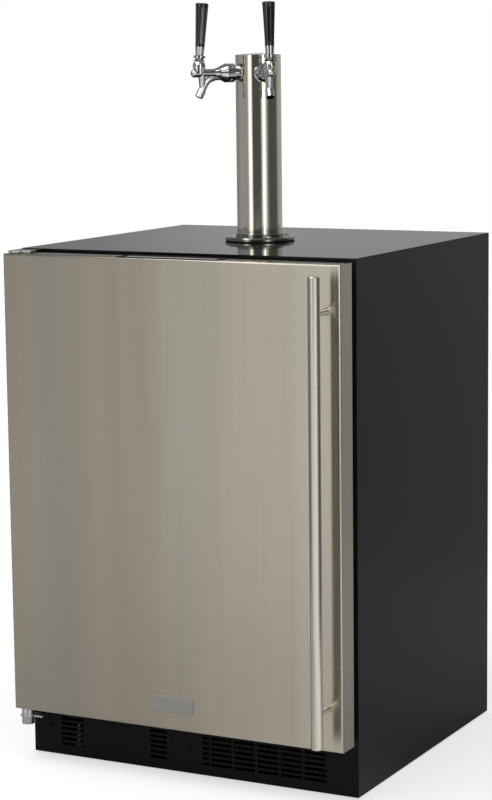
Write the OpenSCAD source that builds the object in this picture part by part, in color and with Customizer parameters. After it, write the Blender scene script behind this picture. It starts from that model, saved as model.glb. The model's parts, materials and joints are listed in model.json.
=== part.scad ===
// Built-in beer dispenser: a 24-inch undercounter cabinet with one hinged door and a twin-tap tower.
// Front faces -Y, the floor is Z = 0, and the origin is the centre of the footprint. Millimetres.

/* [Cabinet] */
// Width of the cabinet and of its door
cab_w = 606; // [590:1:640]
// Height of the carcass from its bottom edge to its top sheet
cab_h = 857; // [840:1:890]
// Depth of the cabinet from its front plane to its back
cab_d = 549; // [540:1:600]
// Thickness of the painted steel sheets
sheet = 1.2; // [0.8:0.1:2]
// Width of the folded front edge of the side and top panels
front_fold = 20; // [17:1:26]
// Height of the bottom edge above the floor, with the feet screwed in
foot_clear = 3; // [2:0.5:4]

/* [Insulated walls] */
// Thickness of the side walls
side_wall = 44; // [38:1:50]
// Thickness of the top wall
top_wall = 46; // [40:1:54]
// Thickness of the rear wall
rear_wall = 46; // [40:1:56]
// Thickness of the floor, and of the walls over the machine space
floor_wall = 39; // [34:1:46]
// Thickness of the moulded liner
liner_t = 2; // [1.5:0.1:3]
// Depth of the frame round the mouth of the cabinet
frame_t = 8; // [5:0.5:12]

/* [Machine space] */
// Height of the toe grille and of the low machine space behind it
toe_h = 85; // [80:1:95]
// Depth of the tall machine space at the back
bay_d = 190; // [182:1:205]
// Height of the tall machine space at the back
bay_h = 245; // [235:1:275]
// Height of the base pan above the bottom edge
pan_lift = 5; // [5:0.5:8]
// Thickness of the base pan
pan_t = 2; // [1.5:0.1:3]

/* [Toe grille] */
// Thickness of the toe grille
grille_t = 3; // [2:0.5:4]
// Number of louvre slots in each column
slot_rows = 6; // [4:1:6]
// Height of each louvre slot
slot_h = 5; // [4:0.5:6]
// Spacing of the louvre slots
slot_pitch = 8.8; // [8.5:0.1:10]
// Height of the lowest slot above the bottom edge
slot_z = 17; // [14:1:20]
// Spacing of the louvre columns on the right
column_pitch = 42.4; // [40:0.2:43]
// Width of the rib between two columns
column_rib = 4; // [3:0.5:6]

/* [Feet] */
// Diameter of the foot pads
pad_d = 34; // [28:1:40]
// Thickness of the foot pads
pad_h = 6; // [4:0.5:6]
// Diameter of the foot studs
stud_d = 10; // [8:1:12]
// Length of the foot studs above the pads
stud_l = 36; // [30:1:40]
// Distance of the feet from the cabinet's sides, front and back
foot_in = 55; // [50:1:60]

/* [Door] */
// Thickness of the door
door_t = 42; // [38:1:50]
// Gap between the door's back and the cabinet, filled by the gasket
door_gap = 17; // [15:0.5:20]
// Height of the door's bottom edge above the carcass's bottom edge
door_low = 89; // [87:0.5:92]
// Drop of the door's top edge below the cabinet's top
door_drop = 5; // [5:0.5:7]
// Thickness of the door's stainless skin
skin_t = 1; // [0.6:0.1:1.5]
// Outer radius of the folds round the door's face
fold_r = 2.6; // [1.8:0.1:3.5]
// Thickness of the door's inner panel
inner_t = 2; // [1.5:0.1:3]
// Distance of the gasket's outer edge from the door's edges
gasket_in = 15; // [15:0.5:18]
// Width of the gasket
gasket_w = 18; // [14:1:20]
// Height of the raised rim on the inner panel
rim_h = 9; // [6:0.5:12]
// Width of the strip let into the door's top edge
insert_w = 175; // [150:1:200]
// Depth of the strip let into the door's top edge
insert_h = 8; // [6:0.5:12]
// Margin of that strip from the door's front and back
insert_margin = 4; // [3:0.5:6]
// Gap round that strip
insert_gap = 0.8; // [0.5:0.1:1.2]
// Width of the plain badge plate
badge_w = 76; // [60:1:90]
// Height of the plain badge plate
badge_h = 26; // [24:1:40]
// Thickness of the badge plate
badge_t = 1.6; // [1:0.1:2]
// Height of the badge's centre above the carcass's bottom edge
badge_z = 132; // [120:1:150]

/* [Handle] */
// Diameter of the bar
handle_d = 19; // [16:0.5:24]
// Distance from the door's face to the bar's axis
handle_out = 40; // [30:0.5:45]
// Distance from the door's free edge to the bar's axis
handle_in = 25; // [24:1:40]
// Distance of the bar's ends from the door's ends
handle_end = 15; // [5:1:60]
// Distance of the standoffs from the bar's ends
post_in = 56; // [40:1:90]
// Diameter of the standoffs
post_d = 12; // [10:0.5:14]

/* [Hinge] */
// Distance of the hinge axis from the door's hinged edge
hinge_in = 12; // [11:0.5:13]
// Diameter of the hinge pins
pin_d = 10; // [8:0.5:11]
// Depth of the pins in the door
pin_l = 13; // [10:1:16]
// Outer diameter of the bushings in the door
bush_d = 16; // [14:0.5:18]
// Thickness of the hinge plates
hinge_t = 3; // [2.5:0.1:3.2]
// Width of the hinge plates
hinge_w = 40; // [36:1:44]
// Height of the bottom hinge's knuckle
knuckle_h = 28; // [24:1:30]

/* [Tower] */
// Diameter of the column
column_d = 76.2; // [76:0.1:90]
// Wall of the column
column_wall = 1.5; // [1:0.1:2]
// Height of the tower above the cabinet's top
tower_h = 313; // [312:1:340]
// Distance of the tower in front of the cabinet's middle
tower_fore = 6; // [0:0.5:20]
// Height of the cap
cap_h = 16; // [12:1:17]
// Rise of the cap's crown
crown = 2.5; // [1.5:0.1:4]
// Diameter of the base flange
flange_d = 118; // [116:1:134]
// Thickness of the base flange
flange_t = 5.5; // [5:0.5:8]
// Height of the collar on the flange
collar_h = 5; // [3:0.5:8]
// Thickness of the seal under the flange
seal_t = 2; // [1:0.1:3]
// Diameter of the hole under the tower
well_d = 60; // [56:1:64]

/* [Taps] */
// Height of the taps' axis above the cabinet's top
tap_h = 281; // [276:1:283]
// Angle of each tap from straight ahead
tap_angle = 37.5; // [35:0.5:45]
// Diameter of the shanks
shank_d = 22.2; // [20:0.2:22.4]
// Diameter of the shank flange
shank_flange_d = 25; // [24:0.5:28]
// Distance from the column's wall to the shank flange's face
shank_face = 8.5; // [8:0.5:12]
// Length of the shank beyond its flange
shank_out = 11.5; // [10:0.5:14]
// Diameter of the coupling nuts
nut_d = 31.4; // [30:0.2:34]
// Distance from the shank's end to the lever's axis
lever_out = 50; // [48:0.5:54]
// Height of the lever's ball above the taps' axis
ball_h = 12.5; // [12:0.1:13]
// Diameter of the lever's ball
ball_d = 14; // [13:0.1:14.4]
// Outer diameter of the bonnet
bonnet_d = 21; // [20.4:0.1:22]
// Backward lean of the closed lever
lean = 4; // [2:0.5:5]
// Radius of the spout's bend
spout_bend = 29; // [26:0.5:32]
// Angle that the spout turns through
spout_turn = 61; // [55:1:66]
// Straight length of the spout after its bend
spout_end = 20.5; // [16:0.5:26]
// Outer diameter of the spout's tube
spout_tube_d = 11.4; // [11:0.2:12]
// Outer diameter of the spout's mouth piece
spout_d = 14; // [13:0.2:15]
// Length of the spout's mouth piece
mouth_l = 13; // [10:0.5:15]
// Bore of the spout
spout_bore = 9; // [8:0.2:10]
// Height of the chrome ferrules
ferrule_h = 19; // [17:0.5:24]
// Height of the black tap handles
grip_h = 71.5; // [60:0.5:110]
// Diameter of the tap handles at the bottom
grip_low_d = 15.6; // [14:0.2:18]
// Diameter of the tap handles at the top
grip_top_d = 21.6; // [18:0.2:28]
// Number of flutes round each tap handle
flutes = 8; // [6:1:10]
// Diameter of the beer tubes
tube_d = 8; // [7:0.5:9]
// Length of the beer tubes below the ceiling
tube_tail = 40; // [25:1:60]

/* [Cold side] */
// Width of the evaporator cover
cover_w = 236; // [220:1:250]
// Height of the evaporator cover
cover_h = 310; // [290:1:340]
// Depth of the evaporator cover
cover_d = 58; // [54:1:66]
// Distance of the evaporator cover to the right of centre
cover_x = 128; // [125:1:130]
// Diameter of the evaporator fan
cold_fan_d = 96; // [80:1:100]
// Diameter of the thermostat dial
dial_d = 30; // [24:1:34]

/* [Hot side] */
// Diameter of the compressor's shell
shell_d = 144; // [130:1:150]
// Height of the compressor's straight shell
shell_h = 95; // [80:1:110]
// Height of the rubber mounts
mount_h = 14; // [10:1:18]
// Width of the condenser coil
coil_w = 200; // [180:1:204]
// Number of fins on each coil
fins = 20; // [12:1:22]
// Outer diameter of the refrigerant pipes
pipe_d = 8; // [6:0.5:9]

/* [Service openings] */
// Bore of the gas line sleeve
sleeve_bore = 22; // [16:0.5:24]
// Wall of the gas line sleeve
sleeve_wall = 3; // [2:0.5:4]
// Bore of the power cord inlet
cord_bore = 8.4; // [7:0.2:10]

/* [Fits] */
// Radial clearance of pins and shafts that turn
run_fit = 0.05; // [0.03:0.01:0.08]
// Radial clearance of pieces that are only put together
slip_fit = 0.1; // [0.05:0.05:0.2]
// Gap between moving faces that are not a fit
face_gap = 0.4; // [0.3:0.05:0.6]

/* [Hidden] */
$fn = 96;

// Main planes
half_w = cab_w / 2;
y_back = (cab_d + door_gap + door_t + handle_out + handle_d / 2) / 2;
y_front = y_back - cab_d;
y_door_back = y_front - door_gap;
y_door = y_door_back - door_t;
z_base = foot_clear;
z_top = foot_clear + cab_h;
z_toe = z_base + toe_h;
z_pan = z_base + pan_lift + pan_t;
door_z0 = z_base + door_low;
door_z1 = z_top - door_drop;

// Inside of the cabinet
in_x = half_w - side_wall;
z_floor = z_toe + floor_wall;
z_ceil = z_top - top_wall;
y_rear = y_back - rear_wall;
y_bay = y_back - bay_d;
z_bay = z_base + bay_h;
y_hump = y_bay - floor_wall;
z_hump = z_bay + floor_wall;

// Hinge axis
bush_end = 2;
hinge_x = -half_w + hinge_in;
hinge_y = y_door + door_t / 2;
arm_wall = 6;
arm_gap = 1;
knuckle_gap = 1.5;
leg_gap = 1.5;
screw_in = 9;
arm_r = pin_d / 2 + arm_wall;
arm_top = door_z1 + arm_gap + hinge_t;
arm_low = door_z0 - knuckle_gap - knuckle_h;
knuckle_r = arm_r - 0.5;
hinge_screw_in = [8, 4];
hinge_screw_z = [arm_top - hinge_screw_in[0], door_z0 + hinge_screw_in[1]];

// Handle bar
bar_x = half_w - handle_in;
bar_y = y_door - handle_out;
bar_z = [door_z0 + handle_end, door_z1 - handle_end];
post_z = [bar_z[0] + post_in, bar_z[1] - post_in];
spigot_d = post_d - 5;
spigot_l = 2.5;
post_stud_d = 6;
post_stud_l = 12;

// Tower and taps
tower_y = y_back - cab_d / 2 - tower_fore;
column_r = column_d / 2;
seat_h = 3;
collar_wall = 2.6;
z_flange = z_top + seal_t;
z_cap = z_top + tower_h - cap_h;
tap_z = z_top + tap_h;
shank_reach = 16;
shank_in = column_r - shank_reach;
s_face = column_r + shank_face;
s_shank = s_face + shank_out;
s_lever = s_shank + lever_out;
nut_gap = 0.5;
tail_t = 3.8;
neck_d = 19;
neck_l = 16;
taper_l = 7;
body_d = 14;
body_bore = 10;
nose_run = 8;
neck_top = 7.5;
spout_drop = 6.5;
spout_start = 16;
spout_lead = 2.5;
mouth_step = 0.8;
mouth_lap = 1.5;
pin_tip_d = 5;
stem_d = 6.4;
skirt_t = 1.7;
skirt_angle = 50;
mouth_angle = 55;
skirt_r = bonnet_d / 2 + face_gap;
ring_h = skirt_r + 1.2;
thread_d = 9.5;
thread_l = 12;
collar_r = 6.6;
grip_z = ring_h + ferrule_h;
plug_l = 4;
plug_d = grip_low_d - 5;
slot_half = 5.8;
plunger_d = 9.4;
rod_d = 6;
tube_r = 13.1;
tube_bend = shank_in - tube_r;
tap_sides = [-1, 1];

// Fasteners
screw_d = 4.4;
screw_head_d = 8.4;
screw_head_h = 2.4;
screw_l = 14;
flange_screw_r = (flange_d / 2 + column_r) / 2;
grille_screws = [[-half_w + 31, 51], [0, 47], [half_w - 15, 32]];
tab_w = 24;
tab_rise = 10;

// Louvre columns of the toe grille, as left and right edges from the centre
right_columns = [for (i = [0:4]) [38 + i * column_pitch, 38 + (i + 1) * column_pitch - column_rib]];
louvre_columns = concat([[-249, -205], [-77, -45], [22, 34]], right_columns);

// Feet
foot_x = half_w - foot_in;
foot_y = [y_front + foot_in, y_back - foot_in];
boss_d = stud_d + 9;
boss_h = 14;

// Base pan
pan_edge_h = 18;
mount_stud_rise = 8;

// Cold side
cover_t = 2;
cover_drop = 20;
cold_fan_drop = 34;
cover_z = [z_ceil - cover_h - cover_drop, z_ceil - cover_drop];
cold_fan_z = cover_z[1] - cold_fan_d / 2 - cold_fan_drop;
cold_motor_d = 40;
cold_motor_l = 22;
hub_d = 26;
hub_l = 14;
hub_gap = 0.5;
shaft_d = 6;
shaft_l = 10;
dial_box = [120, 60, 44];
dial_in = [20, 40];
dial_x = in_x - dial_box[0] / 2 - dial_in[0];
dial_y = y_front + dial_in[1];
dial_plate = 5;
dial_l = 14;

// Hot side
hot_x = 130;
hot_in = 26;
hot_y = y_front + hot_in;
coil_d = 32;
coil_gap = 6;
fan_gap = 8;
hot_fan_y = hot_y + coil_d + fan_gap;
hot_fan_z = (z_pan + z_toe) / 2;
hot_fan_d = z_toe - z_pan - 2 * coil_gap;
hot_motor_d = 34;
hot_motor_l = 30;
comp_x = -140;
comp_in = 94;
comp_y = y_back - sheet - comp_in;
comp_plate = [190, 150, 4];
comp_z = z_pan + mount_h;
mount_d = 22;
mount_half = [82, 62];
mount_places = [for (a = [-1, 1], b = [-1, 1]) [comp_x + a * mount_half[0], comp_y + b * mount_half[1]]];
comp_stud_d = 7.6;
coil_row_z = 34;
coil_row_pitch = 20;
tube_stub = 6;
tube_share = [0.28, 0.72];
pipe_bend = 14;
suction_in = 65;
suction_x = cover_x - suction_in;
suction_y = y_back - rear_wall / 2;
suction_rise = [110, 60];
suction_z = [z_pan + suction_rise[0], cover_z[0] + suction_rise[1]];
sleeve_x = -200;
sleeve_h = 620;
sleeve_z = z_base + sleeve_h;
sleeve_lip = 5;
sleeve_hole_d = sleeve_bore + 2 * sleeve_wall + 2 * slip_fit;
inlet_x = 235;
inlet_h = 60;
inlet_z = z_base + inlet_h;
inlet_wall = 6;
inlet_lip = 4;
inlet_d = cord_bore + 2 * inlet_wall;
inlet_l = 14;

// Shared shapes

// A block between two limits on each axis
module slab(x, y, z) {
    translate([x[0], y[0], z[0]]) cube([x[1] - x[0], y[1] - y[0], z[1] - z[0]]);
}

// A rectangle from the origin with a radius at both corners of its lower side
module folded_outline(w, h, r) {
    translate([r, 0]) square([w - 2 * r, h]);
    translate([0, r]) square([w, h - r]);
    for (a = [r, w - r])
        translate([a, r]) circle(r = r);
}

// A slab whose edges round its front face have a radius
module folded_slab(x, y, z, r) {
    past = 1;
    intersection() {
        translate([x[0], y[0], z[0] - past]) linear_extrude(z[1] - z[0] + 2 * past)
            folded_outline(x[1] - x[0], y[1] - y[0] + past, r);
        translate([x[1] + past, y[0], z[0]]) rotate([0, -90, 0])
            linear_extrude(x[1] - x[0] + 2 * past) folded_outline(z[1] - z[0], y[1] - y[0], r);
    }
}

// A rectangular ring in the XZ plane
module ring(x, z, w, y) {
    difference() {
        slab([-x, x], y, z);
        slab([-x + w, x - w], [y[0] - 1, y[1] + 1], [z[0] + w, z[1] - w]);
    }
}

// A YZ outline carried across the cabinet
module across(half) {
    rotate([90, 0, 90]) translate([0, 0, -half]) linear_extrude(2 * half) children();
}

// A rod or cone along -Y, from one distance to another
module out_rod(from, to, d, d2 = 0) {
    translate([0, -from, 0]) rotate([90, 0, 0])
        cylinder(d1 = d, d2 = d2 > 0 ? d2 : d, h = to - from);
}

// A rod along +Y between two places
module y_rod(x, z, y0, y1, d) {
    translate([x, y1, z]) rotate([90, 0, 0]) cylinder(d = d, h = y1 - y0);
}

// A pipe along square corners, each rounded with the same bend
function unit(v) = v / norm(v);
module pipe(points, d, bend) {
    last = len(points) - 1;
    for (i = [0:last - 1]) {
        run = unit(points[i + 1] - points[i]);
        from = points[i] + run * (i > 0 ? bend : 0);
        to = points[i + 1] - run * (i < last - 1 ? bend : 0);
        side = abs(run[2]) > 0.5 ? [1, 0, 0] : [0, 0, 1];
        other = cross(run, side);
        multmatrix([
            [side[0], other[0], run[0], from[0]],
            [side[1], other[1], run[1], from[1]],
            [side[2], other[2], run[2], from[2]],
            [0, 0, 0, 1]
        ]) cylinder(d = d, h = norm(to - from));
        if (i > 0) elbow(points[i], unit(points[i] - points[i - 1]), run, d, bend);
    }
}

// The quarter bend of a pipe at a corner
module elbow(corner, into, out, d, bend) {
    centre = corner + bend * (out - into);
    axis = cross(into, out);
    multmatrix([
        [-out[0], into[0], axis[0], centre[0]],
        [-out[1], into[1], axis[1], centre[1]],
        [-out[2], into[2], axis[2], centre[2]],
        [0, 0, 0, 1]
    ]) rotate_extrude(angle = 90) translate([bend, 0]) circle(d = d);
}

// A pan-head screw, head upwards, and the hole that it needs
module screw() {
    cylinder(d = screw_head_d, h = screw_head_h);
    translate([0, 0, -screw_l]) cylinder(d = screw_d, h = screw_l + screw_head_h / 2);
}
module screw_hole() {
    translate([0, 0, -screw_l - 1]) cylinder(d = screw_d + 2 * slip_fit, h = screw_l + 2);
}

// Places of the screws: children are drawn at each one, along its axis
module at_tower_screws() {
    for (a = [45:90:315])
        translate([0, tower_y, z_flange + flange_t]) rotate(a)
            translate([flange_screw_r, 0, 0]) children();
}
module at_hinge_screws() {
    for (z = hinge_screw_z, x = [screw_in, hinge_w - screw_in])
        translate([-half_w + x, y_front - hinge_t, z]) rotate([90, 0, 0]) children();
}
module at_grille_screws() {
    for (p = grille_screws)
        translate([p[0], y_front, z_base + p[1]]) rotate([90, 0, 0]) children();
}

// Places of the two taps: outwards is -Y, and the origin is on the column's axis
module at_tap(side) {
    translate([0, tower_y, tap_z]) rotate(side * tap_angle) children();
}
module at_lever() {
    translate([0, -s_lever, ball_h]) rotate([-lean, 0, 0]) children();
}

// Outline of the inside of the liner in the YZ plane, grown by a wall
function liner_outline(t) = [
    [y_front + frame_t, z_floor - t], [y_hump + t, z_floor - t], [y_hump + t, z_hump - t],
    [y_rear + t, z_hump - t], [y_rear + t, z_ceil + t], [y_front + frame_t, z_ceil + t]
];
function mouth_outline() = [
    [y_front, z_floor], [y_front + frame_t + 1, z_floor], [y_front + frame_t + 1, z_ceil], [y_front, z_ceil]
];

// A fan on a hub and shaft along +Y, with its hub's front at y
module fan(x, y, z, d, blades) {
    blade_t = 1.6;
    chord = d * 0.24;
    translate([x, y, z]) {
        translate([0, hub_l, 0]) rotate([90, 0, 0]) cylinder(d = hub_d, h = hub_l);
        translate([0, hub_l + shaft_l, 0]) rotate([90, 0, 0]) cylinder(d = shaft_d, h = shaft_l + 1);
        intersection() {
            translate([0, hub_l, 0]) rotate([90, 0, 0]) cylinder(d = d, h = hub_l);
            for (i = [0:blades - 1])
                translate([0, hub_l / 2, 0]) rotate([0, i * 360 / blades, 0]) rotate([0, 0, 32])
                    slab([-chord / 2, chord / 2], [-blade_t / 2, blade_t / 2], [hub_d / 2 - 1, d / 2 + 2]);
        }
    }
}

// A finned coil: plates across x with tubes along it
module finned_coil(x, w, y, z, rows) {
    fin_t = 0.8;
    coil_tube_d = 8;
    pitch = (w - fin_t) / (fins - 1);
    for (i = [0:fins - 1])
        slab([x - w / 2 + i * pitch, x - w / 2 + i * pitch + fin_t], y, z);
    for (row = rows, k = tube_share)
        translate([x - w / 2 - tube_stub, y[0] + (y[1] - y[0]) * k, row]) rotate([0, 90, 0])
            cylinder(d = coil_tube_d, h = w + 2 * tube_stub);
}

// Cabinet

module side_panel(side) {
    color("#1b1b1c") difference() {
        union() {
            slab([0, sheet], [y_front, y_back - sheet], [z_base, z_top - sheet]);
            slab([0, front_fold], [y_front, y_front + sheet], [z_toe, z_top - sheet]);
        }
        if (side < 0) translate([half_w, 0, 0]) at_hinge_screws() screw_hole();
    }
}
module left_side_panel() {
    translate([-half_w, 0, 0]) side_panel(-1);
}
module right_side_panel() {
    mirror([1, 0, 0]) translate([-half_w, 0, 0]) side_panel(1);
}
module top_panel() {
    color("#1b1b1c") difference() {
        union() {
            slab([-half_w, half_w], [y_front, y_back], [z_top - sheet, z_top]);
            slab([-half_w + front_fold, half_w - front_fold], [y_front, y_front + sheet],
                [z_top - front_fold, z_top]);
        }
        translate([0, tower_y, z_top - 2 * sheet]) cylinder(d = well_d, h = 3 * sheet);
        at_tower_screws() screw_hole();
        at_hinge_screws() screw_hole();
    }
}
module rear_panel() {
    color("#202021") difference() {
        slab([-half_w, half_w], [y_back - sheet, y_back], [z_base, z_top - sheet]);
        y_rod(sleeve_x, sleeve_z, y_back - 2 * sheet, y_back + 1, sleeve_hole_d);
        y_rod(inlet_x, inlet_z, y_back - 2 * sheet, y_back + 1, inlet_d + 2 * slip_fit);
    }
}
module base_pan() {
    edge = half_w - sheet;
    color("#6f7376") difference() {
        union() {
            slab([-edge, edge], [y_front + grille_t, y_back - sheet], [z_pan - pan_t, z_pan]);
            for (x = [[-edge, -edge + pan_t], [edge - pan_t, edge]])
                slab(x, [y_front + grille_t, y_back - sheet], [z_pan - pan_t, z_pan + pan_edge_h]);
            for (p = grille_screws)
                slab([max(p[0] - tab_w / 2, -edge), min(p[0] + tab_w / 2, edge)],
                    [y_front + grille_t, y_front + grille_t + pan_t],
                    [z_pan - pan_t, z_base + p[1] + tab_rise]);
            for (x = [-foot_x, foot_x], y = foot_y)
                translate([x, y, z_pan - pan_t]) cylinder(d = boss_d, h = pan_t + boss_h);
            for (p = mount_places)
                translate([p[0], p[1], z_pan - pan_t])
                    cylinder(d = comp_stud_d, h = pan_t + mount_h + comp_plate[2] + mount_stud_rise);
        }
        for (x = [-foot_x, foot_x], y = foot_y)
            translate([x, y, z_pan - pan_t - 1]) cylinder(d = stud_d + 2 * slip_fit, h = pan_t + boss_h + 2);
        at_grille_screws() screw_hole();
    }
}
module foam_insulation() {
    color("#e6d9a8") difference() {
        across(half_w - sheet) polygon([
            [y_front + frame_t, z_toe], [y_bay, z_toe], [y_bay, z_bay], [y_back - sheet, z_bay],
            [y_back - sheet, z_top - sheet], [y_front + frame_t, z_top - sheet]
        ]);
        across(in_x + liner_t) polygon(liner_outline(liner_t));
        translate([0, tower_y, z_ceil]) cylinder(d = well_d, h = top_wall);
        at_tower_screws() screw_hole();
        at_hinge_screws() screw_hole();
        y_rod(sleeve_x, sleeve_z, y_rear, y_back, sleeve_hole_d);
        suction_line(pipe_d + 2 * slip_fit);
    }
}
module inner_liner() {
    color("#e9eaec") difference() {
        across(in_x + liner_t) polygon(liner_outline(liner_t));
        across(in_x) polygon(liner_outline(0));
        across(in_x) polygon(mouth_outline());
        translate([0, tower_y, z_ceil - 1]) cylinder(d = well_d, h = liner_t + 2);
        y_rod(sleeve_x, sleeve_z, y_rear - 1, y_back, sleeve_hole_d);
        suction_line(pipe_d + 2 * slip_fit);
    }
}
module face_frame() {
    edge = half_w - front_fold;
    color("#161617") difference() {
        union() {
            slab([-half_w + sheet, half_w - sheet], [y_front + sheet, y_front + frame_t],
                [z_toe, z_top - sheet]);
            slab([-edge, edge], [y_front, y_front + frame_t], [z_toe, z_top - front_fold]);
        }
        across(in_x) polygon(mouth_outline());
        at_hinge_screws() screw_hole();
    }
}
module toe_grille() {
    color("#131314") difference() {
        slab([-half_w + sheet, half_w - sheet], [y_front, y_front + grille_t], [z_base, z_toe]);
        for (c = louvre_columns, i = [0:slot_rows - 1])
            slab(c, [y_front - 1, y_front + grille_t + 1],
                [z_base + slot_z + i * slot_pitch, z_base + slot_z + i * slot_pitch + slot_h]);
        at_grille_screws() screw_hole();
    }
}
module cabinet_screws() {
    color("#8c8f92") {
        at_tower_screws() screw();
        at_hinge_screws() screw();
        at_grille_screws() screw();
    }
}
module foot(x, y) {
    color("#3a3b3c") translate([x, y, 0]) {
        cylinder(d = pad_d, h = pad_h);
        cylinder(d = stud_d, h = pad_h + stud_l);
    }
}
module front_left_foot() {
    foot(-foot_x, foot_y[0]);
}
module front_right_foot() {
    foot(foot_x, foot_y[0]);
}
module rear_left_foot() {
    foot(-foot_x, foot_y[1]);
}
module rear_right_foot() {
    foot(foot_x, foot_y[1]);
}

// Hinge

module hinge_arm(z0, z1) {
    slab([-half_w, -half_w + hinge_w], [hinge_y, y_front], [z0, z1]);
    slab([-half_w, hinge_x + arm_r], [hinge_y - arm_r / 2, hinge_y], [z0, z1]);
    translate([hinge_x, hinge_y, z0]) cylinder(r = arm_r, h = z1 - z0);
}
module hinge_leg(z0, z1) {
    slab([-half_w, -half_w + hinge_w], [y_front - hinge_t, y_front], [z0, z1]);
}
module top_hinge_bracket() {
    color("#a9abad") difference() {
        intersection() {
            union() {
                hinge_arm(arm_top - hinge_t, arm_top);
                hinge_leg(door_z1 - gasket_in + leg_gap, arm_top);
            }
            slab([-half_w, half_w], [y_door, y_front], [z_base, z_top]);
        }
        translate([hinge_x, hinge_y, door_z1]) cylinder(d = pin_d + 2 * slip_fit, h = arm_top);
        at_hinge_screws() screw_hole();
    }
}
module bottom_hinge_bracket() {
    plate_rise = 12;
    color("#a9abad") difference() {
        intersection() {
            union() {
                hinge_arm(arm_low + plate_rise, arm_low + plate_rise + hinge_t);
                hinge_leg(arm_low + plate_rise, door_z0 + gasket_in - leg_gap);
                translate([hinge_x, hinge_y, arm_low]) cylinder(r = knuckle_r, h = knuckle_h);
            }
            slab([-half_w, half_w], [y_door, y_front], [z_base, z_top]);
        }
        translate([hinge_x, hinge_y, arm_low - 1]) cylinder(d = pin_d + 2 * slip_fit, h = knuckle_h + 2);
        at_hinge_screws() screw_hole();
    }
}
module hinge_pins() {
    color("#c6c8ca") {
        translate([hinge_x, hinge_y, door_z1 - pin_l]) cylinder(d = pin_d, h = arm_top - door_z1 + pin_l);
        translate([hinge_x, hinge_y, arm_low]) cylinder(d = pin_d, h = door_z0 + pin_l - arm_low);
    }
}

// Door

module at_bushes() {
    bush_l = pin_l + bush_end;
    translate([hinge_x, hinge_y, door_z1 - bush_l]) children();
    translate([hinge_x, hinge_y, door_z0 + bush_l]) mirror([0, 0, 1]) children();
}
module bush_room() {
    cylinder(d = bush_d + 2 * slip_fit, h = pin_l + bush_end + 1);
}
module insert_room(gap, depth) {
    slab([-insert_w / 2 - gap, insert_w / 2 + gap],
        [y_door + insert_margin - gap, y_door_back - insert_margin + gap], [door_z1 - depth, door_z1 + 1]);
}
module post_room() {
    for (z = post_z)
        y_rod(bar_x, z, y_door - 1, y_door + post_stud_l + 1, post_stud_d + 2 * slip_fit);
}
module door_skin() {
    color("#b3ada0") difference() {
        folded_slab([-half_w, half_w], [y_door, y_door_back], [door_z0, door_z1], fold_r);
        folded_slab([-half_w + skin_t, half_w - skin_t], [y_door + skin_t, y_door_back + 1],
            [door_z0 + skin_t, door_z1 - skin_t], fold_r - skin_t);
        insert_room(insert_gap, insert_h);
        at_bushes() bush_room();
        post_room();
    }
}
module door_foam() {
    color("#e6d9a8") difference() {
        folded_slab([-half_w + skin_t, half_w - skin_t], [y_door + skin_t, y_door_back - inner_t],
            [door_z0 + skin_t, door_z1 - skin_t], fold_r);
        insert_room(insert_gap, insert_h);
        at_bushes() bush_room();
        post_room();
    }
}
module door_inner_panel() {
    rim_gap = 4;
    rim_in = gasket_in + gasket_w + rim_gap;
    rim_w = 14;
    color("#e9eaec") {
        slab([-half_w + skin_t, half_w - skin_t], [y_door_back - inner_t, y_door_back],
            [door_z0 + skin_t, door_z1 - skin_t]);
        ring(half_w - rim_in, [door_z0 + rim_in, door_z1 - rim_in], rim_w,
            [y_door_back - inner_t / 2, y_door_back + rim_h]);
    }
}
module door_gasket() {
    color("#0e0e0f")
        ring(half_w - gasket_in, [door_z0 + gasket_in, door_z1 - gasket_in], gasket_w,
            [y_door_back, y_front - face_gap]);
}
module door_top_insert() {
    color("#a3a4a4")
        slab([-insert_w / 2, insert_w / 2], [y_door + insert_margin, y_door_back - insert_margin],
            [door_z1 - insert_h, door_z1 - insert_gap / 2]);
}
module badge_plate() {
    corner = 4;
    color("#55534f") translate([0, y_door, z_base + badge_z]) rotate([90, 0, 0]) linear_extrude(badge_t) {
        square([badge_w - 2 * corner, badge_h], center = true);
        square([badge_w, badge_h - 2 * corner], center = true);
        for (a = [-1, 1], b = [-1, 1])
            translate([a * (badge_w / 2 - corner), b * (badge_h / 2 - corner)]) circle(r = corner);
    }
}
module handle_bar() {
    chamfer = 1;
    color("#c9c7c2") difference() {
        translate([bar_x, bar_y, 0]) rotate_extrude() polygon([
            [0, bar_z[0]], [handle_d / 2 - chamfer, bar_z[0]], [handle_d / 2, bar_z[0] + chamfer],
            [handle_d / 2, bar_z[1] - chamfer], [handle_d / 2 - chamfer, bar_z[1]], [0, bar_z[1]]
        ]);
        for (z = post_z)
            y_rod(bar_x, z, bar_y - spigot_l - 0.5, bar_y + handle_d, spigot_d + 2 * slip_fit);
    }
}
module handle_standoffs() {
    color("#c9c7c2") for (z = post_z) {
        difference() {
            y_rod(bar_x, z, bar_y, y_door, post_d);
            translate([bar_x, bar_y, z - post_d]) cylinder(d = handle_d + 2 * slip_fit, h = 2 * post_d);
        }
        y_rod(bar_x, z, bar_y - spigot_l, y_door, spigot_d);
        y_rod(bar_x, z, y_door - 1, y_door + post_stud_l, post_stud_d);
    }
}
module hinge_bushings() {
    color("#d8d4c8") at_bushes() difference() {
        cylinder(d = bush_d, h = pin_l + bush_end);
        translate([0, 0, bush_end / 2]) cylinder(d = pin_d + 2 * run_fit, h = pin_l + bush_end);
    }
}

// Tower

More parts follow.
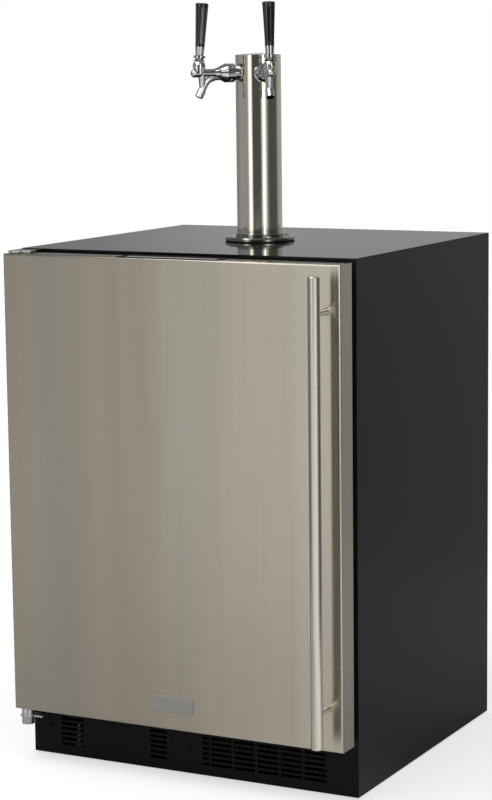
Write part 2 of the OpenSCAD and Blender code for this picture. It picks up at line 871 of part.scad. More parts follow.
module tower_seal() {
    seal_in = 1;
    color("#141414") difference() {
        translate([0, tower_y, z_top]) cylinder(d = flange_d - 2 * seal_in, h = seal_t);
        translate([0, tower_y, z_top - 1]) cylinder(d = well_d, h = seal_t + 2);
        at_tower_screws() screw_hole();
    }
}
module tower_flange() {
    r_in = well_d / 2;
    r_seat = column_r + slip_fit;
    r_collar = column_r + collar_wall;
    collar_edge = 1;
    edge = 2.5;
    color("#d9dadb") difference() {
        translate([0, tower_y, z_flange]) rotate_extrude() polygon([
            [r_in, 0], [flange_d / 2, 0], [flange_d / 2, flange_t - edge], [flange_d / 2 - edge, flange_t],
            [r_collar, flange_t], [r_collar, flange_t + collar_h - collar_edge],
            [r_collar - collar_edge, flange_t + collar_h],
            [r_seat, flange_t + collar_h], [r_seat, seat_h], [r_in, seat_h]
        ]);
        at_tower_screws() screw_hole();
    }
}
module tower_column() {
    z0 = z_flange + seat_h;
    color("#dcdddd") difference() {
        translate([0, tower_y, z0]) cylinder(d = column_d, h = z_cap - z0);
        translate([0, tower_y, z0 - 1]) cylinder(d = column_d - 2 * column_wall, h = z_cap - z0 + 2);
        for (side = tap_sides)
            at_tap(side) out_rod(column_r / 2, column_r + 5, shank_d + 2 * slip_fit);
    }
}
module tower_cap() {
    lip_h = 2.5;
    lip_t = 1.5;
    lip_r = column_r - column_wall - slip_fit;
    crown_r = (column_r * column_r + crown * crown) / (2 * crown);
    rim = cap_h - crown;
    color("#dcdddd") translate([0, tower_y, z_cap]) {
        cylinder(r = column_r, h = rim);
        intersection() {
            cylinder(r = column_r, h = 2 * cap_h);
            translate([0, 0, cap_h - crown_r]) sphere(r = crown_r, $fn = 180);
            translate([0, 0, rim - 1]) cylinder(r = column_r, h = cap_h);
        }
        difference() {
            translate([0, 0, -lip_h]) cylinder(r = lip_r, h = lip_h + 1);
            translate([0, 0, -lip_h - 1]) cylinder(r = lip_r - lip_t, h = lip_h + 1);
        }
    }
}

// Taps

module shanks() {
    shank_bore = 8;
    color("#c9cacb") for (side = tap_sides) at_tap(side) difference() {
        union() {
            out_rod(shank_in, s_shank, shank_d);
            difference() {
                out_rod(column_r - 6, s_face, shank_flange_d);
                translate([0, 0, -shank_d]) cylinder(d = column_d + 2 * slip_fit, h = 2 * shank_d);
            }
        }
        out_rod(shank_in - 1, s_shank + 1, shank_bore);
    }
}
module shank_nuts() {
    across_flats = 26;
    nut_l = 7;
    nut_end = sqrt(pow(column_r - column_wall, 2) - pow(across_flats / 2 / cos(30), 2)) - slip_fit;
    color("#b9babb") for (side = tap_sides) at_tap(side) difference() {
        translate([0, -nut_end + nut_l, 0]) rotate([90, 0, 0])
            cylinder(d = across_flats / cos(30), h = nut_l, $fn = 6);
        out_rod(nut_end - nut_l - 1, nut_end + 1, shank_d + 2 * slip_fit);
    }
}
module coupling_nuts() {
    from = s_face + nut_gap;
    ring_l = 14;
    cone_l = 10;
    lip = s_shank + tail_t + 2 * slip_fit;
    front_d = neck_d + 3;
    hole_d = 4.4;
    hole_depth = 2;
    color("#d9dadb") for (side = tap_sides) at_tap(side) difference() {
        union() {
            out_rod(from, from + ring_l, nut_d);
            out_rod(from + ring_l, from + ring_l + cone_l, nut_d, front_d);
        }
        out_rod(from - 1, lip, shank_d + 4 * slip_fit);
        out_rod(lip - 1, from + ring_l + cone_l + 1, neck_d + 2 * slip_fit);
        for (a = [45:90:315])
            translate([0, -from - ring_l / 2, 0]) rotate([0, a, 0]) translate([0, 0, nut_d / 2 - hole_depth])
                cylinder(d = hole_d, h = 2 * hole_depth);
    }
}
// The frame at the end of the spout's bend
module at_spout_end() {
    translate([0, -s_shank - spout_start, -spout_drop - spout_bend]) rotate([spout_turn, 0, 0])
        translate([0, 0, spout_bend]) children();
}
// The spout's tube or its bore: out, round the bend and down in a slightly wider straight piece
module spout(d, extra) {
    translate([0, -s_shank - spout_start, -spout_drop]) {
        out_rod(-spout_lead, 0, d - mouth_step);
        multmatrix([[0, 0, 1, 0], [0, -1, 0, 0], [1, 0, 0, -spout_bend], [0, 0, 0, 1]])
            rotate_extrude(angle = spout_turn) translate([spout_bend, 0]) circle(d = d - mouth_step);
    }
    at_spout_end() out_rod(-mouth_lap, spout_end + extra, d);
}
// The faucet's body along its axis: tail, neck, taper, tube and rounded nose
module faucet_barrel() {
    s_tail = s_shank + slip_fit;
    s_neck = s_shank + neck_l;
    s_tube = s_neck + taper_l;
    s_nose = s_lever + nose_run;
    rotate([90, 0, 0]) rotate_extrude() {
        polygon([
            [0, s_tail], [shank_d / 2 - 2 * slip_fit, s_tail], [shank_d / 2 - 2 * slip_fit, s_tail + tail_t],
            [neck_d / 2, s_tail + tail_t], [neck_d / 2, s_neck], [body_d / 2, s_tube],
            [body_d / 2, s_nose], [0, s_nose]
        ]);
        intersection() {
            translate([0, s_nose]) circle(d = body_d);
            translate([0, s_nose - 1]) square([body_d, body_d]);
        }
    }
}
module faucet_body() {
    strut_d = 9;
    strut_top_d = 13;
    strut_in = 5;
    strut_l = 27;
    seat_d = bonnet_d - 3.2;
    seat_bore = bonnet_d - 5.6;
    bore_past = 1.5;
    color("#d9dadb") difference() {
        union() {
            faucet_barrel();
            translate([0, -s_lever, 0]) cylinder(d = seat_d, h = neck_top);
            translate([0, strut_in - s_lever, -strut_l]) cylinder(d1 = strut_d, d2 = strut_top_d, h = strut_l);
            spout(spout_tube_d, 0);
            at_spout_end() out_rod(spout_end - mouth_l, spout_end, spout_d);
        }
        out_rod(s_shank - 1, s_lever + nose_run + bore_past, body_bore);
        translate([0, -s_lever, 0]) cylinder(d = seat_bore, h = neck_top + 1);
        spout(spout_bore, 1);
    }
}
module left_faucet_body() {
    at_tap(-1) faucet_body();
}
module right_faucet_body() {
    at_tap(1) faucet_body();
}
module bonnets() {
    room = ball_d / 2 + face_gap;
    mouth_h = bonnet_d;
    notch_d = 1.6;
    notches = 20;
    color("#d9dadb") for (side = tap_sides) at_tap(side) translate([0, -s_lever, 0]) difference() {
        union() {
            translate([0, 0, neck_top]) cylinder(d = bonnet_d, h = ball_h - neck_top);
            translate([0, 0, ball_h]) intersection() {
                sphere(d = bonnet_d);
                cylinder(d = bonnet_d, h = bonnet_d);
            }
        }
        translate([0, 0, ball_h]) sphere(r = room);
        translate([0, 0, neck_top - 1]) cylinder(r = room, h = ball_h - neck_top + 1);
        translate([0, 0, ball_h]) cylinder(r1 = 0, r2 = mouth_h * tan(mouth_angle), h = mouth_h);
        for (i = [0:notches - 1])
            rotate(i * 360 / notches) translate([bonnet_d / 2 + notch_d / 4, 0, neck_top - 1])
                cylinder(d = notch_d, h = ball_h - neck_top);
    }
}
module lever() {
    rod_up = ring_h + thread_l;
    pin_down = ball_h - 1;
    cone_h = skirt_r + skirt_t;
    color("#d9dadb") at_lever() {
        sphere(d = ball_d);
        cylinder(d = stem_d, h = ring_h);
        translate([0, 0, -pin_down]) cylinder(d = pin_tip_d, h = pin_down);
        translate([0, 0, -pin_down]) sphere(d = pin_tip_d);
        intersection() {
            difference() {
                union() {
                    sphere(r = skirt_r + skirt_t);
                    cylinder(r = collar_r, h = ring_h);
                }
                sphere(r = skirt_r);
            }
            cylinder(r1 = 0, r2 = cone_h * tan(skirt_angle), h = cone_h);
            cylinder(r = 2 * skirt_r, h = ring_h);
        }
        translate([0, 0, skirt_r - 0.5]) cylinder(d = thread_d, h = rod_up - skirt_r + 0.5);
    }
}
module left_lever() {
    at_tap(-1) lever();
}
module right_lever() {
    at_tap(1) lever();
}
module ferrule() {
    low_r = 6.3;
    ring_r = 9.8;
    ring_t = 4.6;
    edge = 0.8;
    top_r = grip_low_d / 2;
    neck_r = low_r + (top_r - low_r) * ring_t / ferrule_h;
    color("#d9dadb") at_lever() difference() {
        rotate_extrude() polygon([
            [0, ring_h], [ring_r - edge, ring_h], [ring_r, ring_h + edge], [ring_r, ring_h + ring_t - edge],
            [ring_r - edge, ring_h + ring_t], [neck_r, ring_h + ring_t], [top_r, ring_h + ferrule_h],
            [0, ring_h + ferrule_h]
        ]);
        translate([0, 0, ring_h - 1]) cylinder(d = thread_d + 2 * slip_fit, h = thread_l + 1.5);
        translate([0, 0, grip_z - plug_l]) cylinder(d = plug_d + 2 * slip_fit, h = plug_l + 1);
    }
}
module left_ferrule() {
    at_tap(-1) ferrule();
}
module right_ferrule() {
    at_tap(1) ferrule();
}
module tap_handle() {
    flute_r = 5;
    flute_depth = 0.9;
    flute_end = [4, 5];
    edge = 2.4;
    taper = atan((grip_top_d - grip_low_d) / 2 / grip_h);
    color("#0d0d0e") at_lever() translate([0, 0, grip_z]) {
        difference() {
            rotate_extrude() polygon([
                [0, 0], [grip_low_d / 2, 0], [grip_top_d / 2, grip_h - edge],
                [grip_top_d / 2 - 0.8, grip_h - edge * 0.4],
                [grip_top_d / 2 - edge, grip_h - 0.3], [0, grip_h]
            ]);
            for (i = [0:flutes - 1])
                rotate(i * 360 / flutes) translate([grip_low_d / 2 + flute_r - flute_depth, 0, flute_end[0]])
                    rotate([0, taper, 0]) cylinder(r = flute_r, h = grip_h - flute_end[0] - flute_end[1]);
        }
        translate([0, 0, -plug_l + slip_fit]) cylinder(d = plug_d, h = plug_l + 1);
    }
}
module left_tap_handle() {
    at_tap(-1) tap_handle();
}
module right_tap_handle() {
    at_tap(1) tap_handle();
}
module plunger() {
    centre = s_lever + ball_h * tan(lean);
    head_wall = 1.9;
    seal_in = 8;
    seal_l = 3;
    slot_side = pin_tip_d / 2 + 0.3;
    head_half = slot_half + head_wall;
    seal_from = s_shank + seal_in;
    color("#c9cacb") difference() {
        union() {
            out_rod(centre - head_half, centre + head_half, plunger_d);
            out_rod(seal_from, centre - head_half + 1, rod_d);
            out_rod(seal_from, seal_from + seal_l, plunger_d);
        }
        slab([-slot_side, slot_side], [-centre - slot_half, -centre + slot_half], [-plunger_d, plunger_d]);
    }
}
module left_plunger() {
    at_tap(-1) plunger();
}
module right_plunger() {
    at_tap(1) plunger();
}
module beer_tube(d) {
    down = z_ceil - tube_tail - tap_z;
    pipe([[0, -shank_in, 0], [0, -tube_r, 0], [0, -tube_r, down]], d, tube_bend);
}
module beer_tubes() {
    tube_bore = 5;
    color("#c3c4c5") for (side = tap_sides) at_tap(side) difference() {
        beer_tube(tube_d);
        translate([0, -tube_r, z_ceil - tube_tail - tap_z - 1]) cylinder(d = tube_bore, h = tube_tail);
    }
}
module tube_bulkhead() {
    flange_h = 4;
    plug_h = liner_t + 12;
    flange_over = 7;
    color("#dcdcda") difference() {
        translate([0, tower_y, 0]) {
            translate([0, 0, z_ceil - flange_h]) cylinder(d = well_d + 2 * flange_over, h = flange_h);
            translate([0, 0, z_ceil - 1]) cylinder(d = well_d - 2 * slip_fit, h = plug_h + 1);
        }
        for (side = tap_sides)
            at_tap(side) translate([0, -tube_r, z_ceil - flange_h - 1 - tap_z])
                cylinder(d = tube_d + 2 * slip_fit, h = plug_h + flange_h + 2);
    }
}

// Cold side

module evaporator_cover() {
    x = [cover_x - cover_w / 2, cover_x + cover_w / 2];
    intake_slots = 6;
    intake_pitch = 12;
    intake_h = 6;
    intake_in = 30;
    fan_room = 5;
    intake_z = cover_z[0] + intake_in;
    front = [y_rear - cover_d - 1, y_rear - cover_d + cover_t + 1];
    color("#dfe0e1") difference() {
        slab(x, [y_rear - cover_d, y_rear], cover_z);
        slab([x[0] + cover_t, x[1] - cover_t], [y_rear - cover_d + cover_t, y_rear + 1],
            [cover_z[0] + cover_t, cover_z[1] - cover_t]);
        y_rod(cover_x, cold_fan_z, front[0], front[1], cold_fan_d + 2 * fan_room);
        for (i = [0:intake_slots - 1])
            slab([x[0] + intake_in, x[1] - intake_in], front,
                [intake_z + i * intake_pitch, intake_z + i * intake_pitch + intake_h]);
    }
}
module evaporator_coil() {
    side_gap = 22;
    depth = 40;
    first_row = 16;
    row_pitch = 24;
    low_gap = 14;
    height = 104;
    z = [cover_z[0] + low_gap, cover_z[0] + low_gap + height];
    color("#b5b8bb")
        finned_coil(cover_x, cover_w - 2 * side_gap, [y_rear - depth, y_rear], z,
            [for (k = [0:3]) z[0] + first_row + k * row_pitch]);
}
module evaporator_fan_motor() {
    plate_t = 3;
    plate_d = cold_motor_d + 24;
    color("#2b2c2e") difference() {
        union() {
            y_rod(cover_x, cold_fan_z, y_rear - cold_motor_l, y_rear, cold_motor_d);
            y_rod(cover_x, cold_fan_z, y_rear - plate_t, y_rear, plate_d);
        }
        y_rod(cover_x, cold_fan_z, y_rear - cold_motor_l - 1, y_rear - cold_motor_l + shaft_l,
            shaft_d + 2 * run_fit);
    }
}
module evaporator_fan_blade() {
    color("#222325") fan(cover_x, y_rear - cold_motor_l - hub_l - hub_gap, cold_fan_z, cold_fan_d, 5);
}
module thermostat_housing() {
    color("#cfd0d1") difference() {
        slab([dial_x - dial_box[0] / 2, dial_x + dial_box[0] / 2], [dial_y, dial_y + dial_box[1]],
            [z_ceil - dial_box[2], z_ceil]);
        y_rod(dial_x, z_ceil - dial_box[2] / 2, dial_y - 1, dial_y + shaft_l + 1, shaft_d + 2 * run_fit);
    }
}
module thermostat_dial() {
    grip_w = 6;
    grip_end = 2;
    z = z_ceil - dial_box[2] / 2;
    color("#1c1c1d") {
        y_rod(dial_x, z, dial_y - face_gap - dial_plate, dial_y - face_gap, dial_d);
        slab([dial_x - grip_w / 2, dial_x + grip_w / 2], [dial_y - dial_l, dial_y - face_gap - 1],
            [z - dial_d / 2 + grip_end, z + dial_d / 2 - grip_end]);
        y_rod(dial_x, z, dial_y - 2, dial_y + shaft_l, shaft_d);
    }
}

// Hot side

module compressor() {
    dome_r = shell_d * 0.62;
    box_x = [14, 16];
    box_half = 28;
    box_z = [24, 80];
    drop = sqrt(dome_r * dome_r - shell_d * shell_d / 4);
    color("#151516") difference() {
        union() {
            slab([comp_x - comp_plate[0] / 2, comp_x + comp_plate[0] / 2],
                [comp_y - comp_plate[1] / 2, comp_y + comp_plate[1] / 2], [comp_z, comp_z + comp_plate[2]]);
            translate([comp_x, comp_y, comp_z]) cylinder(d = shell_d, h = shell_h);
            translate([comp_x, comp_y, comp_z + shell_h - 1]) intersection() {
                translate([0, 0, 1 - drop]) sphere(r = dome_r, $fn = 120);
                cylinder(d = shell_d, h = dome_r);
            }
            slab([comp_x - shell_d / 2 - box_x[0], comp_x - shell_d / 2 + box_x[1]],
                [comp_y - box_half, comp_y + box_half], [comp_z + box_z[0], comp_z + box_z[1]]);
        }
        for (p = mount_places)
            translate([p[0], p[1], comp_z - 1])
                cylinder(d = comp_stud_d + 2 * slip_fit, h = comp_plate[2] + 2);
    }
}
module compressor_mounts() {
    color("#101010") for (p = mount_places)
        translate([p[0], p[1], z_pan]) difference() {
            cylinder(d = mount_d, h = mount_h);
            translate([0, 0, -1]) cylinder(d = comp_stud_d + 2 * slip_fit, h = mount_h + 2);
        }
}
module condenser_coil() {
    color("#2a2b2d")
        finned_coil(hot_x, coil_w, [hot_y, hot_y + coil_d], [z_pan, z_toe - coil_gap],
            [for (k = [-1:1]) z_pan + coil_row_z + k * coil_row_pitch]);
}
module condenser_fan_motor() {
    bracket_half = 14;
    bracket_y = [8, 20];
    sole_half = 30;
    sole_y = [4, 24];
    sole_t = 2;
    y0 = hot_fan_y + hub_l + hub_gap;
    color("#2b2c2e") difference() {
        union() {
            y_rod(hot_x, hot_fan_z, y0, y0 + hot_motor_l, hot_motor_d);
            slab([hot_x - bracket_half, hot_x + bracket_half], [y0 + bracket_y[0], y0 + bracket_y[1]],
                [z_pan, hot_fan_z]);
            slab([hot_x - sole_half, hot_x + sole_half], [y0 + sole_y[0], y0 + sole_y[1]],
                [z_pan, z_pan + sole_t]);
        }
        y_rod(hot_x, hot_fan_z, y0 - 1, y0 + shaft_l, shaft_d + 2 * run_fit);
    }
}
module condenser_fan_blade() {
    color("#c9cacb") fan(hot_x, hot_fan_y, hot_fan_z, hot_fan_d, 5);
}
// The suction pipe: from the compressor's shell, up inside the rear wall and out to the evaporator
module suction_line(d) {
    start = comp_x + shell_d / 2 + slip_fit;
    z_low = suction_z[0];
    pipe([[start, comp_y, z_low], [suction_x, comp_y, z_low], [suction_x, suction_y, z_low],
        [suction_x, suction_y, suction_z[1]], [suction_x, y_rear + slip_fit, suction_z[1]]], d, pipe_bend);
}
// The discharge pipe: from the compressor's shell to the condenser
module discharge_line(d) {
    run_out = 30;
    z = z_pan + coil_row_z;
    x = hot_x - coil_w / 2 - run_out;
    y = hot_y + tube_share[0] * coil_d;
    pipe([[comp_x + shell_d / 2 + slip_fit, comp_y, z], [x, comp_y, z], [x, y, z],
        [hot_x - coil_w / 2 - tube_stub - slip_fit, y, z]], d, pipe_bend);
}
module refrigerant_pipes() {
    color("#b4703f") {
        suction_line(pipe_d);
        discharge_line(pipe_d);
    }
}

// Service openings

module cord_inlet() {
    lip = 3;
    color("#161617") difference() {
        union() {
            y_rod(inlet_x, inlet_z, y_back - inlet_l, y_back, inlet_d);
            y_rod(inlet_x, inlet_z, y_back - sheet - lip, y_back - sheet, inlet_d + 2 * inlet_lip);
        }
        y_rod(inlet_x, inlet_z, y_back - inlet_l - 1, y_back + 1, cord_bore);
    }
}
module gas_line_sleeve() {
    lip = 2;
    color("#dcdcda") difference() {
        union() {
            y_rod(sleeve_x, sleeve_z, y_rear - lip, y_back, sleeve_bore + 2 * sleeve_wall);
            y_rod(sleeve_x, sleeve_z, y_rear - lip, y_rear, sleeve_bore + 2 * sleeve_wall + 2 * sleeve_lip);
        }
        y_rod(sleeve_x, sleeve_z, y_rear - lip - 1, y_back + 1, sleeve_bore);
    }
}

left_side_panel();
right_side_panel();
top_panel();
rear_panel();
base_pan();
foam_insulation();
inner_liner();
face_frame();
toe_grille();
cabinet_screws();
top_hinge_bracket();
bottom_hinge_bracket();
hinge_pins();
front_left_foot();
front_right_foot();
rear_left_foot();
rear_right_foot();
door_skin();
door_foam();
door_inner_panel();
door_gasket();
door_top_insert();
badge_plate();
handle_bar();
handle_standoffs();
hinge_bushings();
tower_seal();
tower_flange();
tower_column();
tower_cap();
shanks();
shank_nuts();
coupling_nuts();
left_faucet_body();
right_faucet_body();
bonnets();
left_lever();
right_lever();
left_ferrule();
right_ferrule();
left_tap_handle();
right_tap_handle();
left_plunger();
right_plunger();
beer_tubes();
tube_bulkhead();
evaporator_cover();
evaporator_coil();
evaporator_fan_motor();
evaporator_fan_blade();
thermostat_housing();
thermostat_dial();
compressor();
compressor_mounts();
condenser_coil();
condenser_fan_motor();
condenser_fan_blade();
refrigerant_pipes();
cord_inlet();
gas_line_sleeve();
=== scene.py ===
# %% [markdown]
# # A built-in beer dispenser
#
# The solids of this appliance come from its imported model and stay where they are. This lesson dresses
# them: it sets up a small studio, writes the finishes as node materials, and models the soft and fine
# pieces that plain solids can't show. Lengths are in metres, the door faces -Y and the floor is Z = 0.

# %% Load the solids
import json
import math

import bmesh
import bpy
import numpy as np
from mathutils import Matrix, Vector


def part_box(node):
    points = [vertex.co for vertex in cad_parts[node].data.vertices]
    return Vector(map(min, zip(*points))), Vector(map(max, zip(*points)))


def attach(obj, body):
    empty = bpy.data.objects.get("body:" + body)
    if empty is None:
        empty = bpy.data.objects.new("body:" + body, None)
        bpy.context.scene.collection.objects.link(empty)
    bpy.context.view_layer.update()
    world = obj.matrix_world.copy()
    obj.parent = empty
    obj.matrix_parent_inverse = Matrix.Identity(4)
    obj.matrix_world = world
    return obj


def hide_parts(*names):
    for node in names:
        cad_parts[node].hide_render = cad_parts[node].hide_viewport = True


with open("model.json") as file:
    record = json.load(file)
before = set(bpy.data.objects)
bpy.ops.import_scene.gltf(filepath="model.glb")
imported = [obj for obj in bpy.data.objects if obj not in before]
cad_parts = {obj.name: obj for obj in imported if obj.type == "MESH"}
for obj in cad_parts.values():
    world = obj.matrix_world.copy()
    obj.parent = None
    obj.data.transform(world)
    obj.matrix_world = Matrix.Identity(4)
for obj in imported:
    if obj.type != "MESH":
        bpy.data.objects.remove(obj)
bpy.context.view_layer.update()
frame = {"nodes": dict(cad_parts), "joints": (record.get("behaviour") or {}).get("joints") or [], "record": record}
nodes = frame["nodes"]

# %% [markdown]
# ## The camera
#
# The picture was taken from the front right, a little above the worktop's height, with a long lens. The
# place was found by fitting the straight edges of the cabinet. A Track To constraint could aim the
# camera, but it can't hold the small roll, so the camera's axes are built as three vectors. They also
# show how a camera looks along its own -Z.

# %% Place the camera
CAMERA_AT = Vector((1.7928, -3.44505, 1.1704))
LOOK_AT = Vector((-0.0365, 0.05975, 0.583))
ROLL = math.radians(-0.69)
LENS_MM = 104.52

back = (CAMERA_AT - LOOK_AT).normalized()
level_right = Vector((0, 0, 1)).cross(back).normalized()
level_up = back.cross(level_right)
right = level_right * math.cos(ROLL) + level_up * math.sin(ROLL)
up = level_up * math.cos(ROLL) - level_right * math.sin(ROLL)

camera = bpy.data.objects.new("camera", bpy.data.cameras.new("camera"))
camera.matrix_world = Matrix.Translation(CAMERA_AT) @ Matrix((right, up, back)).transposed().to_4x4()
camera.data.lens = LENS_MM
bpy.context.scene.collection.objects.link(camera)
bpy.context.scene.camera = camera
bpy.context.scene.view_settings.view_transform = "Standard"
print("camera distance:", round((CAMERA_AT - LOOK_AT).length, 3))

# %% [markdown]
# ## Shader maths in Python
#
# Node trees could be wired link by link, but they are easier to read as formulas. A Wire holds one output
# socket, and arithmetic on it adds Math nodes. Every other node comes from one method: its type, its
# settings, which are set first, and its sockets.


# %% The Wire class
class Wire:
    """One output socket of a node tree. Arithmetic on it adds a Math node, and node() adds any other node."""

    def __init__(self, tree, socket=None):
        self.tree = tree
        self.socket = socket

    def node(self, kind, settings=None, sockets=None, out=0):
        """Adds a node, sets its settings, then sets or links its sockets, and returns one of its outputs."""
        made = self.tree.nodes.new("ShaderNode" + kind)
        for name, value in (settings or {}).items():
            if name == "stops":
                set_stops(made.color_ramp, value)
            else:
                setattr(made, name, value)
        for key, value in (sockets or {}).items():
            if isinstance(value, Wire):
                self.tree.links.new(value.socket, made.inputs[key])
            else:
                made.inputs[key].default_value = value
        return Wire(self.tree, made.outputs[out] if made.outputs else None)

    def math(self, operation, first, second):
        return self.node("Math", {"operation": operation}, {0: first, 1: second})

    def __add__(self, other):
        return self.math("ADD", self, other)

    def __sub__(self, other):
        return self.math("SUBTRACT", self, other)

    def __rsub__(self, other):
        return self.math("SUBTRACT", other, self)

    def __mul__(self, other):
        return self.math("MULTIPLY", self, other)

    __radd__ = __add__
    __rmul__ = __mul__

    def rise(self, low, high):
        """A smooth step from 0 at low to 1 at high."""
        return self.node("MapRange", {"interpolation_type": "SMOOTHSTEP"},
                         {"Value": self, "From Min": low, "From Max": high})

    def window(self, opening, closing):
        """1 between two smooth steps: it rises over the opening and falls over the closing."""
        return self.rise(*opening) * (1 - self.rise(*closing))


def set_stops(ramp, stops):
    """Gives a colour ramp its stops, as pairs of position and grey, with smooth steps between them."""
    ramp.interpolation = "EASE"
    ramp.elements[0].position, ramp.elements[-1].position = 0.0, 1.0
    for place, _ in stops[1:-1]:
        ramp.elements.new(place)
    for element, (_, grey) in zip(ramp.elements, stops):
        element.color = (grey, grey, grey, 1)


def bare_tree(owner):
    """Empties the node tree of a world or a material, and returns a Wire that adds to it."""
    owner.use_nodes = True
    owner.node_tree.nodes.clear()
    return Wire(owner.node_tree)


print("shader class ready")

# %% [markdown]
# ## The studio
#
# The picture has a plain white ground, and its polished column shows what the room holds: two tall soft
# lights, the darker room round the camera between them, and pale walls at the sides and behind. The
# handle, which stands lower, mirrors the lit ground in front instead. Real panels could stand round the
# object, but they would show in other views. So one world gives each kind of ray its own light: the
# camera sees white, matt surfaces get an even fill, and metal sees the room.
#
# The room is two lists of brightness at compass degrees, where 0 is straight out from the door and 90 is
# to the right, as seen from the front. The pairs below them are where a ray's direction passes from one
# part of the room to the next. A third soft light hangs over the camera, for the posts of the handle and
# the tops of the taps.

# %% Levels of the room
FILL = 0.66
CEILING = 0.25
OVER_CAMERA = 5.0
RAMP_TOP = 4.0
WALLS = [
    (-180, 0.46), (-158, 0.42), (-152, 0.43), (-148, 0.29), (-112, 0.27), (-75, 0.38), (-33, 0.37),
    (-22, 1.30), (-18, 3.00), (-13, 1.60), (-2, 0.09), (34, 0.09), (46, 1.00), (53, 3.40), (60, 1.10),
    (74, 0.20), (84, 0.09), (122, 0.10), (142, 0.42), (160, 0.46), (180, 0.46),
]
GROUND = [
    (-180, 0.36), (-120, 0.30), (-75, 0.20), (-45, 0.30), (-33, 0.68), (-25, 0.88), (-1, 0.90),
    (18, 1.10), (45, 1.10), (66, 0.95), (84, 0.50), (101, 0.12), (130, 0.07), (150, 0.30), (180, 0.36),
]
HORIZON = (-0.09, -0.078)
OVERHEAD = (0.5, 0.85)
LIGHT_ACROSS = ((-0.10, 0.02), (0.34, 0.42))
LIGHT_UP = ((0.28, 0.36), (0.46, 0.56))
LIGHT_FORWARD = (0.6, 0.85)
print("stops round the walls:", len(WALLS), "round the ground:", len(GROUND))

# %% [markdown]
# In a world, Generated coordinates are the direction of the ray. Its compass angle reads both ramps, and
# its slope chooses between them: the ground below the horizon, the walls above it, and the ceiling
# overhead. A ramp holds no more than 1, so the levels are scaled down to fit into it and up again after
# it.

# %% Light the world
world = bpy.data.worlds.new("studio")
bpy.context.scene.world = world
air = bare_tree(world)

ray = air.node("TexCoord", out="Generated")
x, y, z = (air.node("SeparateXYZ", sockets={0: ray}, out=axis) for axis in "XYZ")
compass = air.math("ARCTAN2", x, 0 - y) * (1 / (2 * math.pi)) + 0.5


def around(levels):
    """The levels at compass degrees, from -180 to 180, as one smooth ramp round the room."""
    stops = [((degrees + 180) / 360, level / RAMP_TOP) for degrees, level in levels]
    return air.node("ValToRGB", {"stops": stops}, {"Fac": compass}) * RAMP_TOP


walled = z.rise(*HORIZON)
overhead = z.rise(*OVERHEAD)
over_camera = x.window(*LIGHT_ACROSS) * z.window(*LIGHT_UP) * (0 - y).rise(*LIGHT_FORWARD)
sides = around(WALLS) * walled + around(GROUND) * (1 - walled)
studio = sides * (1 - overhead) + overhead * CEILING + over_camera * OVER_CAMERA

seen = air.node("LightPath", out="Is Camera Ray")
through = air.node("LightPath", out="Is Transmission Ray")
mirrored = air.node("LightPath", out="Is Glossy Ray")
white = air.math("MAXIMUM", seen, through)
strength = white + (1 - white) * (mirrored * studio + (1 - mirrored) * FILL)
backdrop = air.node("Background", sockets={"Color": (1, 1, 1, 1), "Strength": strength})
air.node("OutputWorld", sockets={"Surface": backdrop})
print("world nodes:", len(world.node_tree.nodes))

# %% [markdown]
# The floor takes the shadow under the cabinet, and the low end of the handle mirrors it. A shadow catcher
# could take the shadow, but metal wouldn't mirror it. So the floor is a matt grey sheet that takes the
# light of the room. A glow for camera rays lifts it to the white of the ground, so that no horizon shows.
# A second glow, for mirrored rays, lies to the front and right, where the lights of the room would fall.

# %% Lay the floor
FLOOR_HALF = 1.3
FLOOR_GREY = 0.5
FLOOR_LIFT = 0.60
FLOOR_SHINE = 0.65
SHINE_RIGHT = (-0.3, 0.9)
SHINE_FRONT = (-0.45, 0.1)

corners = np.array([(-1, -1, 0), (1, -1, 0), (1, 1, 0), (-1, 1, 0)]) * FLOOR_HALF
floor_mesh = bpy.data.meshes.new("floor")
floor_mesh.from_pydata(corners.tolist(), [], [(0, 1, 2, 3)])
floor = bpy.data.objects.new("floor", floor_mesh)
bpy.context.scene.collection.objects.link(floor)

paper = bpy.data.materials.new("floor_paper")
sheet = bare_tree(paper)
matt = sheet.node("BsdfDiffuse", sockets={"Color": (FLOOR_GREY, FLOOR_GREY, FLOOR_GREY, 1)})
by_camera = sheet.node("LightPath", out="Is Camera Ray")
by_mirror = sheet.node("LightPath", out="Is Glossy Ray")
spot = sheet.node("TexCoord", out="Object")
to_right = sheet.node("SeparateXYZ", sockets={0: spot}, out="X").rise(*SHINE_RIGHT)
to_front = 1 - sheet.node("SeparateXYZ", sockets={0: spot}, out="Y").rise(*SHINE_FRONT)
shine = by_mirror * to_right * to_front * FLOOR_SHINE
glow = sheet.node("Emission", sockets={"Strength": by_camera * FLOOR_LIFT + shine})
sheet.node("OutputMaterial", sockets={"Surface": sheet.node("AddShader", sockets={0: matt, 1: glow})})
floor_mesh.materials.append(paper)
print("floor side:", 2 * FLOOR_HALF)

# %% [markdown]
# The world alone lights every side alike. One wide lamp overhead, a little to the front and left, shades
# the small forms, and its size keeps the shadows soft.

# %% Hang the lamp
LAMP_SIZE = (2.4, 1.6)
LAMP_WATTS = 38
LAMP_AT = Vector((-0.5, -1.2, 3.0))
LAMP_AIM = Vector((0, 0, 0.6))

lamp = bpy.data.objects.new("overhead_lamp", bpy.data.lights.new("overhead_lamp", "AREA"))
lamp.data.shape = "RECTANGLE"
lamp.data.size, lamp.data.size_y = LAMP_SIZE
lamp.data.energy = LAMP_WATTS
lamp.location = LAMP_AT
lamp.rotation_euler = (LAMP_AIM - LAMP_AT).to_track_quat("-Z", "Y").to_euler()
bpy.context.scene.collection.objects.link(lamp)
print("lamp:", LAMP_WATTS, "W")

